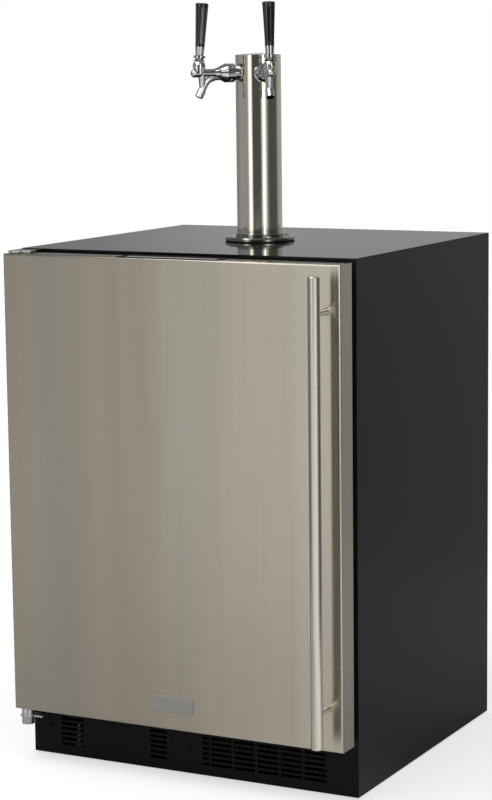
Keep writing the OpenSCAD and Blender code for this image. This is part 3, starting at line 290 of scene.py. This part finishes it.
# %% [markdown]
# ## The finishes
#
# Each finish is a recipe, a function that returns the sockets of one Principled shader. They all read
# Object coordinates, which for these pieces are metres in the appliance's own frame, so no unwrapping is
# needed and a scale of 500 means a detail of about two millimetres. Three helpers cover most of the work:
# stretched noise, a mix of two colours, and a bump.


# %% Finish helpers
def finish(name, recipe):
    """Makes a material whose Principled shader takes the sockets that the recipe returns."""
    material = bpy.data.materials.new(name)
    wire = bare_tree(material)
    shader = wire.node("BsdfPrincipled", sockets=recipe(wire))
    wire.node("OutputMaterial", sockets={"Surface": shader})
    return material


def grain(wire, scale, detail):
    """Noise from 0 to 1 on Object coordinates, with its own scale along each axis."""
    place = wire.node("TexCoord", out="Object")
    place = wire.node("Mapping", sockets={"Vector": place, "Scale": scale})
    return wire.node("TexNoise", sockets={"Vector": place, "Scale": 1.0, "Detail": detail})


def between(wire, share, low, high):
    """A colour from low at share 0 to high at share 1. Either may be a link instead of three numbers."""
    low, high = (tone if isinstance(tone, Wire) else (*tone, 1) for tone in (low, high))
    return wire.node("Mix", {"data_type": "RGBA"}, {0: share, 6: low, 7: high}, out=2)


def raised(wire, height, metres, strength):
    """A normal bumped by a height from 0 to 1, over a depth in metres."""
    return wire.node("Bump", sockets={"Strength": strength, "Distance": metres, "Height": height})


FINISHES = {}
print("finish helpers ready")

# %% [markdown]
# ### The door's brushed steel
#
# The door's skin is brushed from side to side. Each scratch mirrors like a tiny cylinder, so reflections
# stay fairly sharp along the scratches and are drawn out up and down. Bump alone would have to be far
# finer than the picture's pixels, so the anisotropic setting does the drawing out, turned a quarter so
# that it acts along Z. Noise stretched along X makes the scratches. Noise stretched along Z paints soft
# upright bands into the colour, broad and narrow, leaning towards brown or green: painted reflections.


# %% Steel of the door
def brushed_door(wire):
    """Warm stainless steel: fine scratches in colour, roughness and bump, and painted reflections as broad bands
    in tone and hue.
    """
    scratches = grain(wire, (3, 560, 560), detail=4)
    # Painted reflections: broad and narrow upright bands, with brown or green hues, painted into the colour.
    broad = grain(wire, (8.5, 8.5, 0.6), detail=2).rise(0.32, 0.68)
    narrow = grain(wire, (38, 38, 1.2), detail=3).rise(0.3, 0.7)
    painted_reflection_hues = grain(wire, (5.5, 5.5, 0.4), detail=1).rise(0.35, 0.65)
    painted_reflection_bands = broad * 0.65 + narrow * 0.35
    brown = between(wire, painted_reflection_bands, (0.440, 0.393, 0.322), (0.512, 0.460, 0.380))
    green = between(wire, painted_reflection_bands, (0.430, 0.406, 0.338), (0.500, 0.474, 0.400))
    tone = between(wire, painted_reflection_hues, brown, green)
    return {
        "Base Color": between(wire, scratches * 0.2, tone, (0.36, 0.33, 0.28)),
        "Metallic": 1.0,
        "Roughness": 0.18 + scratches * 0.07,
        "Anisotropic": 1.0,
        "Anisotropic Rotation": 0.25,
        "Normal": raised(wire, scratches, 0.00001, 0.3),
    }


FINISHES["stainless"] = brushed_door
print("door steel ready")

# %% [markdown]
# ### Finishes from one noise
#
# On most other pieces tone and gloss change together: plate is cloudy, copper tarnishes and plastic has a
# grain. Each could have a recipe of its own, but they differ only in numbers. So one function takes the
# noise, the two tones, the roughness with its spread, a bump where the surface is uneven, and the sockets
# that are the same all over.


# %% Mottled finishes
def mottled(scale, detail, tones, rough, bump=None, fixed=None):
    """A recipe: noise n mixes the tones, roughness is rough[0] + n rough[1], bump is (depth, strength)."""

    def recipe(wire):
        noise = grain(wire, scale, detail)
        sockets = {
            "Base Color": between(wire, noise, *tones),
            "Roughness": rough[0] + noise * rough[1],
            **(fixed or {}),
        }
        if bump:
            sockets["Normal"] = raised(wire, noise, *bump)
        return sockets

    return recipe


METAL = {"Metallic": 1.0}
print("mottled finishes ready")

# %% [markdown]
# ### Handle, tower and taps
#
# The bar of the handle is brushed along its length, so its reflections are drawn out round it, and its
# posts are turned and polished. The tower and the taps are polished until they mirror the room, so nearly
# all of their look is the studio. The tower is warm stainless steel, and the taps have a cooler, darker
# plating. A perfect mirror looks false, so a little smear in the roughness stands for wiping marks. The
# flange has the column's steel with its colour painted darker, as painted shade for the dark room that it
# mirrors, and the plate on the door is satin.


# %% Bright metals
def polished(dark, pale):
    """A recipe for polished metal with faint wiping marks."""
    return mottled((45, 45, 14), 3, (dark, pale), (0.035, 0.05), fixed=METAL)


FINISHES.update({
    "bar_steel": mottled((900, 900, 9), 3, ((0.54, 0.515, 0.455), (0.62, 0.595, 0.53)), (0.18, 0.08),
                         fixed={"Anisotropic": 0.5, **METAL}),
    "post_steel": mottled((40, 1200, 40), 2, ((0.70, 0.68, 0.61), (0.80, 0.78, 0.71)), (0.08, 0.06),
                          fixed=METAL),
    "chrome": polished((0.640, 0.616, 0.535), (0.690, 0.664, 0.582)),
    "tap_chrome": polished((0.500, 0.505, 0.490), (0.550, 0.555, 0.540)),
    # Painted shade: the flange's colour is darker than the column's, standing for the dark room it mirrors.
    "painted_shade_flange_steel": mottled((60, 60, 60), 3, ((0.23, 0.225, 0.20), (0.29, 0.285, 0.26)), (0.07, 0.06),
                            fixed=METAL),
    "badge": mottled((8, 8, 900), 2, ((0.35, 0.34, 0.32), (0.43, 0.42, 0.395)), (0.30, 0.12), fixed=METAL),
})
print("bright metals ready")

# %% [markdown]
# ### Metals of the works
#
# Screws, pins and feet are zinc-plated, with a soft cloudy grey. The beer tubes are drawn, so they have
# faint lines along them, the evaporator's aluminium fins have a dull skin, and the copper pipes are
# tarnished. The base pan is galvanised sheet. Noise can't give its flakes a clear rim, so they are the
# cells of a Voronoi pattern, each with its own grey.


# %% Works metals
def galvanised(wire):
    """Galvanised sheet: the cells of a Voronoi pattern, whose own values set tone and roughness."""
    place = wire.node("TexCoord", out="Object")
    flakes = wire.node("TexVoronoi", sockets={"Vector": place, "Scale": 110.0}, out="Color")
    share = wire.node("SeparateXYZ", sockets={0: flakes}, out="X")
    return {
        "Base Color": between(wire, share, (0.26, 0.27, 0.28), (0.42, 0.43, 0.44)),
        "Metallic": 1.0,
        "Roughness": 0.34 + share * 0.18,
    }


FINISHES.update({
    "zinc_sheet": galvanised,
    "hardware": mottled((160, 160, 160), 4, ((0.46, 0.465, 0.47), (0.62, 0.62, 0.615)), (0.26, 0.16),
                        (0.00003, 0.4), METAL),
    "tube_steel": mottled((700, 700, 12), 3, ((0.50, 0.50, 0.50), (0.60, 0.60, 0.59)), (0.18, 0.12),
                          fixed=METAL),
    "coil": mottled((220, 220, 220), 3, ((0.46, 0.48, 0.50), (0.62, 0.63, 0.64)), (0.34, 0.16), fixed=METAL),
    "copper": mottled((60, 60, 60), 4, ((0.42, 0.17, 0.08), (0.74, 0.37, 0.20)), (0.24, 0.2), fixed=METAL),
})
print("works metals ready")

# %% [markdown]
# ### Paint
#
# The cabinet is sheet steel with a black coat. Sprayed paint is never quite flat: a very shallow bump
# with a size of a few millimetres breaks up its reflections. The top sheet is smoother than the sides,
# and seen nearly edge on it turns grey with what stands behind it. The compressor and the condenser have
# a thicker coat with runs. The hinges are plated, and their colour turns black and not metallic on the
# legs that are screwed to the cabinet, so one finish changes from one to the other along Y.

# %% Black coats
PAINT_GLOSS = 0.18
LEG_EDGE = (-0.2415, -0.2405)


def painted(rough, uneven):
    """A recipe for black paint with a shallow orange peel, whose roughness varies a little in patches."""

    def recipe(wire):
        peel = grain(wire, (260, 260, 260), detail=2)
        patches = grain(wire, (9, 9, 3), detail=3)
        return {
            "Base Color": between(wire, patches, (0.0035, 0.0035, 0.0038), (0.0055, 0.0055, 0.0058)),
            "Roughness": rough + patches * uneven,
            "Specular IOR Level": PAINT_GLOSS,
            "Normal": raised(wire, peel, 0.00004, 0.2),
        }

    return recipe


def hinge_metal(wire):
    """Plated steel over the door, turning black and not metallic on the leg behind the edge."""
    clouds = grain(wire, (160, 160, 160), detail=4)
    place = wire.node("TexCoord", out="Object")
    leg = wire.node("SeparateXYZ", sockets={0: place}, out="Y").rise(*LEG_EDGE)
    bright = between(wire, clouds, (0.50, 0.50, 0.50), (0.66, 0.66, 0.65))
    return {
        "Base Color": between(wire, leg, bright, (0.005, 0.005, 0.005)),
        "Metallic": 1 - leg,
        "Roughness": 0.26 + clouds * 0.16,
        "Specular IOR Level": PAINT_GLOSS,
    }


FINISHES.update({
    "black_panel": painted(0.26, 0.08),
    "black_top": painted(0.04, 0.04),
    "hinge_metal": hinge_metal,
    "shell_black": mottled((120, 120, 40), 3, ((0.008, 0.008, 0.009), (0.014, 0.014, 0.015)), (0.28, 0.14),
                           (0.0001, 0.3)),
})
print("paints ready")

# %% [markdown]
# ### Plastics and rubber
#
# Moulded plastics differ in grain: the grille and the frame have a matt spark-eroded texture, the liner
# is a smooth white sheet with a slight waviness, and the rubber of the seals is dull and a little dusty.
# The tap handles are glossy black under a clear coat, with a trace of handling.


# %% Moulded parts
def moulded(dark, pale, rough, size, depth, gloss=0.5):
    """A recipe for plastic with a fine grain of a given size and depth."""
    return mottled((size, size, size), 3, (dark, pale), (rough, 0.12), (depth, 0.5),
                   {"Specular IOR Level": gloss})


FINISHES.update({
    "foam": moulded((0.62, 0.53, 0.28), (0.80, 0.72, 0.45), 0.8, 240, 0.0008),
    "liner": moulded((0.72, 0.73, 0.74), (0.78, 0.79, 0.80), 0.32, 60, 0.00015),
    "black_plastic": moulded((0.0035, 0.0035, 0.0038), (0.0065, 0.0065, 0.0068), 0.42, 900, 0.00008, 0.12),
    "rubber": moulded((0.006, 0.006, 0.006), (0.012, 0.012, 0.012), 0.62, 700, 0.00008, 0.3),
    "insert_grey": moulded((0.30, 0.30, 0.30), (0.36, 0.36, 0.35), 0.42, 600, 0.00005),
    "nylon": moulded((0.66, 0.63, 0.55), (0.74, 0.71, 0.64), 0.40, 300, 0.00006),
    "grip_black": mottled((70, 70, 30), 3, ((0.005, 0.005, 0.005), (0.009, 0.009, 0.009)), (0.12, 0.08),
                          fixed={"Coat Weight": 0.6, "Coat Roughness": 0.05}),
})
print("plastics ready")

# %% [markdown]
# ### Dressing the solids
#
# The record names a material slot for every solid, and most finishes go by that name. A few pieces differ
# from the rest of their slot, so they have a finish of their own.

# %% Dress the solids
OWN_FINISH = {
    "top_panel": "black_top", "top_hinge_bracket": "hinge_metal", "bottom_hinge_bracket": "hinge_metal",
    "handle_standoffs": "post_steel", "condenser_coil": "shell_black", "tower_flange": "painted_shade_flange_steel",
}
TAP_NODES = (
    "shanks", "coupling_nuts", "bonnets", "left_faucet_body", "right_faucet_body",
    "left_lever", "right_lever", "left_ferrule", "right_ferrule",
)
OWN_FINISH.update(dict.fromkeys(TAP_NODES, "tap_chrome"))
materials = {slot: finish(slot, recipe) for slot, recipe in FINISHES.items()}

for part in frame["record"]["subparts"]:
    coat = OWN_FINISH.get(part["node"], part["material_slot"])
    for holder in nodes[part["node"]].material_slots:
        holder.material = materials[coat]
print("finishes:", len(materials))

# %% [markdown]
# ## Softened edges
#
# Sheet metal is never cut to a razor's edge, and a small radius is what catches the light along the
# cabinet. The wide folds of the door's skin are in its solid, so there only the thin edges are softened.
# The solids are loose triangles, so a Weld modifier joins them, a planar Decimate turns each flat side
# back into one face, and a Bevel limited by angle rounds the true edges only.

# %% Round the sheet metal
EDGE_RADIUS = {
    "door_skin": 0.0004, "top_panel": 0.0006, "left_side_panel": 0.0006, "right_side_panel": 0.0006,
    "door_top_insert": 0.0006, "badge_plate": 0.0006, "top_hinge_bracket": 0.0006,
    "bottom_hinge_bracket": 0.0006, "evaporator_cover": 0.0008, "thermostat_housing": 0.0015,
    "door_inner_panel": 0.0015, "face_frame": 0.0008,
}
EDGE_STEPS = 3
SAME_POINT = 1e-6
SAME_PLANE = math.radians(0.5)
TRUE_EDGE = math.radians(50)

for name, radius in EDGE_RADIUS.items():
    weld = nodes[name].modifiers.new("join", "WELD")
    weld.merge_threshold = SAME_POINT
    flat = nodes[name].modifiers.new("flatten", "DECIMATE")
    flat.decimate_type = "DISSOLVE"
    flat.angle_limit = SAME_PLANE
    bevel = nodes[name].modifiers.new("edges", "BEVEL")
    bevel.width = radius
    bevel.segments = EDGE_STEPS
    bevel.limit_method = "ANGLE"
    bevel.angle_limit = TRUE_EDGE
    bevel.harden_normals = True
print("rounded:", len(EDGE_RADIUS))

# %% [markdown]
# ## Surfaces from arrays
#
# The remaining pieces are surfaces on a grid: rows along one parameter, columns along the other.
# Blender's own Spin and Extrude could make them, but as arrays a shape is one formula. A few small
# functions are enough for them all: the faces of a grid, a profile turned about an axis, a profile
# carried round a rectangle, and copies at several places.


# %% Grid helpers
def grid_faces(grid, wrap_rows=False):
    """The quads of a grid of points, closed round its columns and, if asked, its rows."""
    rows, columns = grid.shape[:2]
    row = np.arange(rows if wrap_rows else rows - 1)[:, None]
    column = np.arange(columns)[None, :]
    next_row, next_column = (row + 1) % rows, (column + 1) % columns
    quad = (row * columns + column, row * columns + next_column,
            next_row * columns + next_column, next_row * columns + column)
    return np.stack(np.broadcast_arrays(*quad), axis=-1).reshape(-1, 4)


def full_turn(count):
    """Equal angles round a circle, from 0."""
    return np.linspace(0, 2 * math.pi, count, endpoint=False)


def turned(radius, height, count):
    """Rings about Z: x = r cos t, y = r sin t, z = h, at count angles t. The radius may change with t."""
    angle = full_turn(count)
    return np.stack(np.broadcast_arrays(radius * np.cos(angle), radius * np.sin(angle), height), axis=-1)


def mitred(profile, half_u, half_v):
    """A profile of (inset, rise) round a rectangle: (u, v, rise), where each corner moves in by the inset."""
    inset, rise = profile[:, :1], profile[:, 1:]
    u = np.array([-1, 1, 1, -1]) * (half_u - inset)
    v = np.array([-1, -1, 1, 1]) * (half_v - inset)
    return np.stack(np.broadcast_arrays(u, v, rise), axis=-1)


def copies(grid, placements, wrap_rows=False):
    """Points and faces of one grid at several places: each placement is a 3 x 3 turn and a shift."""
    points = grid.reshape(-1, 3)
    moved = np.concatenate([points @ np.asarray(turn).T + shift for turn, shift in placements])
    starts = np.arange(len(placements))[:, None, None] * len(points)
    return moved, (grid_faces(grid, wrap_rows)[None] + starts).reshape(-1, 4)


MM = 0.001
print("grid helpers ready")

# %% [markdown]
# A grid becomes a piece in one more function. The points of a pole lie on top of each other and are
# merged, the normals are turned outwards, and the angle between faces decides which edges stay sharp.
# Then the piece is told which body it rides on, and which solid it stands for.

# %% From grid to piece
POLE_GAP = 1e-7
SHARP_FROM = math.radians(38)


def new_piece(name, points, faces, slot, body, stands_for=()):
    """A closed, smooth mesh of the grid, its poles merged, with its finish, riding on a body."""
    mesh = bpy.data.meshes.new(name)
    mesh.from_pydata(np.asarray(points).reshape(-1, 3).tolist(), [], np.asarray(faces).tolist())
    shell = bmesh.new()
    shell.from_mesh(mesh)
    bmesh.ops.remove_doubles(shell, verts=shell.verts, dist=POLE_GAP)
    bmesh.ops.recalc_face_normals(shell, faces=shell.faces)
    shell.to_mesh(mesh)
    shell.free()
    mesh.shade_smooth()
    mesh.set_sharp_from_angle(angle=SHARP_FROM)
    mesh.materials.append(materials[slot])
    piece = bpy.data.objects.new(name, mesh)
    bpy.context.scene.collection.objects.link(piece)
    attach(piece, body)
    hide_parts(*stands_for)
    print(name, "faces:", len(mesh.polygons))


print("piece maker ready")

# %% [markdown]
# ### The door's gasket
#
# A soft magnetic seal runs round the back of the door. It is an extruded strip: a foot pushed into the
# door, a bellows, and a wide hollow lip with the magnet, and its four lengths are welded at mitred
# corners. A curve with a bevel would round those corners, so one profile is carried round a rectangle
# instead, with each point moved in by its own distance. The profile is the same on both sides, so only
# one half is written down.

# %% Gasket
GASKET_WIDTH = 18 * MM
GASKET_HALF = np.array([
    (9.0, 0.0), (1.5, 0.0), (1.2, 1.2), (1.5, 2.6), (3.2, 3.4), (4.1, 4.6), (3.4, 5.9), (1.7, 6.7),
    (1.1, 7.8), (1.7, 8.9), (3.0, 9.6), (3.4, 10.5), (1.4, 11.2), (0.3, 12.3), (0.0, 13.8), (0.4, 15.6),
    (1.6, 16.5),
]) * MM
STANDING = [0, 2, 1]

other_half = GASKET_HALF[:0:-1] * (-1, 1) + (GASKET_WIDTH, 0)
gasket_profile = np.concatenate([GASKET_HALF, other_half])
lo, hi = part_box("door_gasket")
middle, half = (lo + hi) / 2, (hi - lo) / 2
gasket = mitred(gasket_profile, half.x, half.z)[..., STANDING] + (middle.x, lo.y, middle.z)
new_piece("gasket_strip", gasket, grid_faces(gasket, True), "rubber", "door", ["door_gasket"])

# %% [markdown]
# ### The bead round the top insert
#
# The strip let into the door's top edge is held by a thin black bead, which shows as a dark outline. It
# is the same idea as the gasket, with a half-round profile and the rectangle lying flat.

# %% Insert bead
BEAD_WIDTH = 2.6 * MM
BEAD_RISE = 1.7 * MM
BEAD_FOOT = 0.3 * MM
BEAD_STEPS = 9

arc = np.linspace(0, math.pi, BEAD_STEPS)
bead_profile = np.stack([BEAD_WIDTH * (1 - np.cos(arc)) / 2, BEAD_RISE * np.sin(arc)], axis=-1)
bead_profile = np.concatenate([bead_profile, [(BEAD_WIDTH, -BEAD_FOOT), (0, -BEAD_FOOT)]])
lo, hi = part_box("door_top_insert")
middle, half = (lo + hi) / 2, (hi - lo) / 2
door_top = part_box("door_skin")[1].z
bead = mitred(bead_profile, half.x + BEAD_WIDTH, half.y + BEAD_WIDTH) + (middle.x, middle.y, door_top)
new_piece("insert_bead", bead, grid_faces(bead, True), "rubber", "door")

# %% [markdown]
# ### The tower's seal
#
# The tower stands on a flat rubber ring with rounded rims. A bevelled cylinder would do, but the rim and
# the bore have different radii, so their profile is written down, closed on itself and turned about the
# axis.

# %% Tower seal
SEAL_RIM = np.array([(57.3, 0.0), (57.8, 0.35), (58.0, 1.0), (57.8, 1.65), (57.3, 2.0)])
SEAL_BORE = np.array([(30.3, 2.0), (30.0, 1.7), (30.0, 0.3), (30.3, 0.0)])
SEAL_COLUMNS = 96

seal_profile = np.concatenate([SEAL_RIM, SEAL_BORE]) * MM
lo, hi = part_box("tower_seal")
seal = turned(seal_profile[:, :1], seal_profile[:, 1:], SEAL_COLUMNS)
seal = seal + ((lo.x + hi.x) / 2, (lo.y + hi.y) / 2, lo.z)
new_piece("tower_ring_seal", seal, grid_faces(seal, True), "rubber", "cabinet", ["tower_seal"])

# %% [markdown]
# ### The compressor's grommets
#
# The compressor stands on four rubber grommets with a waist that the base pan grips. They are turned like
# the seal. Four objects could hold them, but one mesh of four copies rides as one piece.

# %% Grommets
GROMMET = np.array([
    (4.0, 0.3), (4.3, 0.0), (10.2, 0.0), (11.0, 0.8), (11.0, 4.2), (10.2, 5.0), (8.6, 5.3), (8.2, 6.2),
    (8.2, 7.8), (8.6, 8.7), (10.2, 9.0), (11.0, 9.8), (11.0, 13.2), (10.2, 14.0), (4.3, 14.0), (4.0, 13.7),
]) * MM
GROMMET_COLUMNS = 40

lo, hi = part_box("compressor_mounts")
reach = GROMMET[:, 0].max()
places = [(x, y, lo.z) for x in (lo.x + reach, hi.x - reach) for y in (lo.y + reach, hi.y - reach)]
grommet = turned(GROMMET[:, :1], GROMMET[:, 1:], GROMMET_COLUMNS)
grommets = copies(grommet, [(np.eye(3), place) for place in places], wrap_rows=True)
new_piece("rubber_grommets", *grommets, "rubber", "cabinet", ["compressor_mounts"])

# %% [markdown]
# ### The tap handles
#
# Each handle is a black plastic cone, wider at the top, with eight shallow flutes that run out before its
# ends. Cutting them with a Boolean would leave hard rims, so the radius is a function of height and
# angle: a straight taper, less a circular hollow round the middle of each flute, times a window that
# opens and closes along the height.

# %% Fluted side
GRIP_H = 71.5 * MM
GRIP_LOW, GRIP_TOP = 7.8 * MM, 10.8 * MM
GRIP_ROWS, GRIP_COLUMNS = 44, 128
FOOT_RISE, CROWN_IN = 0.4 * MM, 2.4 * MM
FLUTES, FLUTE_DEEP, FLUTE_ROUND = 8, 0.5 * MM, 7 * MM
FLUTE_TURN = math.radians(-12.5)
FLUTE_FOOT, FLUTE_FOOT_RUN = 4 * MM, 3 * MM
FLUTE_HEAD, FLUTE_HEAD_RUN = 5 * MM, 4 * MM


def smooth(value):
    """3 v^2 - 2 v^3 of a value held between 0 and 1."""
    value = np.clip(value, 0, 1)
    return value * value * (3 - 2 * value)


def fluted_side():
    """r = taper(height) - hollow(angle) * window(height), with the hollow deep - arc^2 / (2 round)."""
    height = np.linspace(FOOT_RISE, GRIP_H - CROWN_IN, GRIP_ROWS)[:, None]
    taper = GRIP_LOW + (GRIP_TOP - GRIP_LOW) * height / GRIP_H
    angle = full_turn(GRIP_COLUMNS)[None, :]
    off_middle = ((angle - FLUTE_TURN) * FLUTES / (2 * math.pi) + 0.5) % 1 - 0.5
    arc_length = taper * off_middle * 2 * math.pi / FLUTES
    hollow = np.clip(FLUTE_DEEP - arc_length**2 / (2 * FLUTE_ROUND), 0, None)
    opening = smooth((height - FLUTE_FOOT) / FLUTE_FOOT_RUN)
    closing = smooth((GRIP_H - FLUTE_HEAD - height) / FLUTE_HEAD_RUN)
    return turned(taper - hollow * opening * closing, height, GRIP_COLUMNS)


print("flutes:", FLUTES)

# %% [markdown]
# A plug and a foot close the side below, and a rounded crown above. The lever's hinge says where its ball
# is and which way the tap points, so the handle is placed from that: lifted up the lever, leaned with it,
# and turned about Z.

# %% Fluted handles
PLUG_R, PLUG_L = 5.3 * MM, 3.9 * MM
FOOT_R = GRIP_LOW - 0.5 * MM
CROWN_RISE, CROWN_STEPS = 2.1 * MM, 7
DOME_R, DOME_DROP = 4 * MM, 0.1 * MM
GRIP_UP = 31.1 * MM
LEVER_LEAN = math.radians(4)


def fluted_grip():
    """Rows: plug and foot, fluted side, quarter-round crown and a nearly flat dome up to the axis."""
    foot_r = np.array([0, PLUG_R, PLUG_R, FOOT_R])[:, None]
    foot_h = np.array([-PLUG_L, -PLUG_L, 0, 0])[:, None]
    bend = np.linspace(0, math.pi / 2, CROWN_STEPS)[1:, None]
    crown_r = np.append(GRIP_TOP - CROWN_IN * (1 - np.cos(bend)), [[DOME_R], [0]], axis=0)
    crown_h = GRIP_H - CROWN_IN + CROWN_RISE * np.sin(bend)
    crown_h = np.append(crown_h, [[GRIP_H - DOME_DROP], [GRIP_H]], axis=0)
    foot, crown = turned(foot_r, foot_h, GRIP_COLUMNS), turned(crown_r, crown_h, GRIP_COLUMNS)
    return np.concatenate([foot, fluted_side(), crown])


def about_z(angle):
    """The turn by an angle about Z."""
    return np.array(Matrix.Rotation(angle, 3, "Z"))


grip = fluted_grip()
lean = np.array(Matrix.Rotation(-LEVER_LEAN, 3, "X"))
leaning = (grip + (0, 0, GRIP_UP)) @ lean.T
hinges = {joint["name"]: joint for joint in frame["joints"]}
for name in ("left", "right"):
    hinge = hinges[f"{name}_lever_pull"]
    placed = leaning @ about_z(math.atan2(hinge["axis"][1], hinge["axis"][0])).T + hinge["pos_m"]
    new_piece(f"{name}_fluted_grip", placed, grid_faces(grip), "grip_black", f"{name}_tap",
              [f"{name}_tap_handle"])

# %% [markdown]
# ### Screws with a cross recess
#
# Pan-head screws hold the tower, the hinges and the grille. A Boolean could cut the recess, but it leaves
# a ragged mesh. The recess is a plus sign, and a plus sign is star-shaped: in every direction from its
# middle there is one distance to its outline. So its inner rings follow that distance, and the outer
# rings open out to the round head.

# %% One screw
HEAD_R, HEAD_H = 4.2 * MM, 2.4 * MM
SHANK_R, SHANK_L = 2.2 * MM, 13.5 * MM
ARM_LONG, ARM_HALF = 2.3 * MM, 0.5 * MM
RECESS, RECESS_TAPER = 1.5 * MM, 0.8
DOME_FALL, DOME_ROWS = 0.55, 7
SCREW_COLUMNS = 72
TINY = 1e-9


def plus_outline(angle):
    """The farther of two bars' edges: min(long / |cos|, half / |sin|), and the same with the two swapped."""
    run, rise = np.abs(np.cos(angle)) + TINY, np.abs(np.sin(angle)) + TINY
    flat_bar = np.minimum(ARM_LONG / run, ARM_HALF / rise)
    upright_bar = np.minimum(ARM_HALF / run, ARM_LONG / rise)
    return np.maximum(flat_bar, upright_bar)


def screw_grid():
    """Rows: the recess's floor, the domed head, the shank and its tip. Dome: h = H (1 - fall (r / R)^4)."""
    plus = plus_outline(full_turn(SCREW_COLUMNS))[None, :]
    dome_r = plus + (HEAD_R - plus) * np.linspace(0, 1, DOME_ROWS)[:, None]
    dome_h = HEAD_H * (1 - DOME_FALL * (dome_r / HEAD_R) ** 4)
    floor_h = np.full_like(plus, HEAD_H - RECESS)
    below_r = np.array([HEAD_R, SHANK_R, SHANK_R, 0])[:, None] * np.ones_like(plus)
    below_h = np.array([0, 0, -SHANK_L + 2 * SHANK_R, -SHANK_L])[:, None] * np.ones_like(plus)
    radius = np.concatenate([0 * plus, plus * RECESS_TAPER, dome_r, below_r])
    height = np.concatenate([floor_h, floor_h, dome_h, below_h])
    return turned(radius, height, SCREW_COLUMNS)


screw = screw_grid()
print("screw grid:", screw.shape[:2])

# %% [markdown]
# Four screws stand upright in the tower's flange, two face the front in each hinge leg, and three in the
# grille. A placement is a turn and a shift, so the same grid serves all three sets, each with its own
# finish.

# %% Screws in place
FLANGE_T, SCREW_RING = 5.5 * MM, 48.55 * MM
RING_ANGLES = np.radians([45, 135, 225, 315])
HINGE_LEG_Y, GRILLE_Y = -0.22325, -0.22025
HINGE_SCREWS_X, HINGE_SCREWS_Z = (-0.294, -0.272), (0.851, 0.096)
GRILLE_SCREWS = ((-0.272, 0.054), (0.0, 0.050), (0.288, 0.035))
FACING_FRONT = np.array([(1, 0, 0), (0, 0, -1), (0, 1, 0)])

lo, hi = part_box("tower_flange")
tower_middle = np.array([(lo.x + hi.x) / 2, (lo.y + hi.y) / 2, lo.z + FLANGE_T])
tower_places = [(about_z(t), tower_middle + about_z(t) @ (SCREW_RING, 0, 0)) for t in RING_ANGLES]
hinge_places = [(FACING_FRONT, (x, HINGE_LEG_Y, z)) for x in HINGE_SCREWS_X for z in HINGE_SCREWS_Z]
grille_places = [(FACING_FRONT, (x, GRILLE_Y, z)) for x, z in GRILLE_SCREWS]
for name, places, slot in (
    ("tower_screws", tower_places, "chrome"),
    ("hinge_screws", hinge_places, "hardware"),
    ("grille_screws", grille_places, "black_plastic"),
):
    new_piece(name, *copies(screw, places), slot, "cabinet", ["cabinet_screws"])

# %% [markdown]
# ### The thermostat's scale
#
# Ten short marks stand round the dial, and a pale pointer on its grip shows how far it is turned. Colour
# alone could draw them, but raised bars keep their shape in the mesh. Both are the same small
# bar: a profile carried round a narrow rectangle, from one middle line over the rim to the other. The
# dial's hinge gives their place, and each mark is turned about it by its own share of the hinge's range.

# %% Dial marks and pointer
MARKS, MARK_RING = 10, 18.6 * MM
MARK_BAR = (0.45 * MM, 1.8 * MM, 0.3 * MM)
POINTER_BAR = (0.7 * MM, 4.5 * MM, 0.3 * MM)
POINTER_RING, KNOB_DEEP = 7.5 * MM, 14 * MM
SOFT_RIM = 0.4


def bar_grid(half_wide, half_long, rise):
    """Rectangles of (inset, height): bottom line, bottom rim, side, softened top rim, top line."""
    soft = SOFT_RIM * half_wide
    profile = np.array([(half_wide, -rise), (0, -rise), (0, rise - soft), (soft, rise), (half_wide, rise)])
    return mitred(profile, half_wide, half_long)


dial = hinges["thermostat_turn"]
dial_at = np.array(dial["pos_m"])
mark_angles = np.radians(np.linspace(*dial["range_deg"], MARKS))
mark_turns = [FACING_FRONT @ about_z(t) for t in mark_angles]
marks = [(turn, dial_at + turn @ (0, MARK_RING, 0)) for turn in mark_turns]
pointer = [(FACING_FRONT, dial_at + FACING_FRONT @ (0, POINTER_RING, KNOB_DEEP))]
new_piece("dial_marks", *copies(bar_grid(*MARK_BAR), marks), "black_plastic", "cabinet")
new_piece("dial_pointer", *copies(bar_grid(*POINTER_BAR), pointer), "liner", "dial")

# %% [markdown]
# ## The end
#

# %% Finish
print("finished")
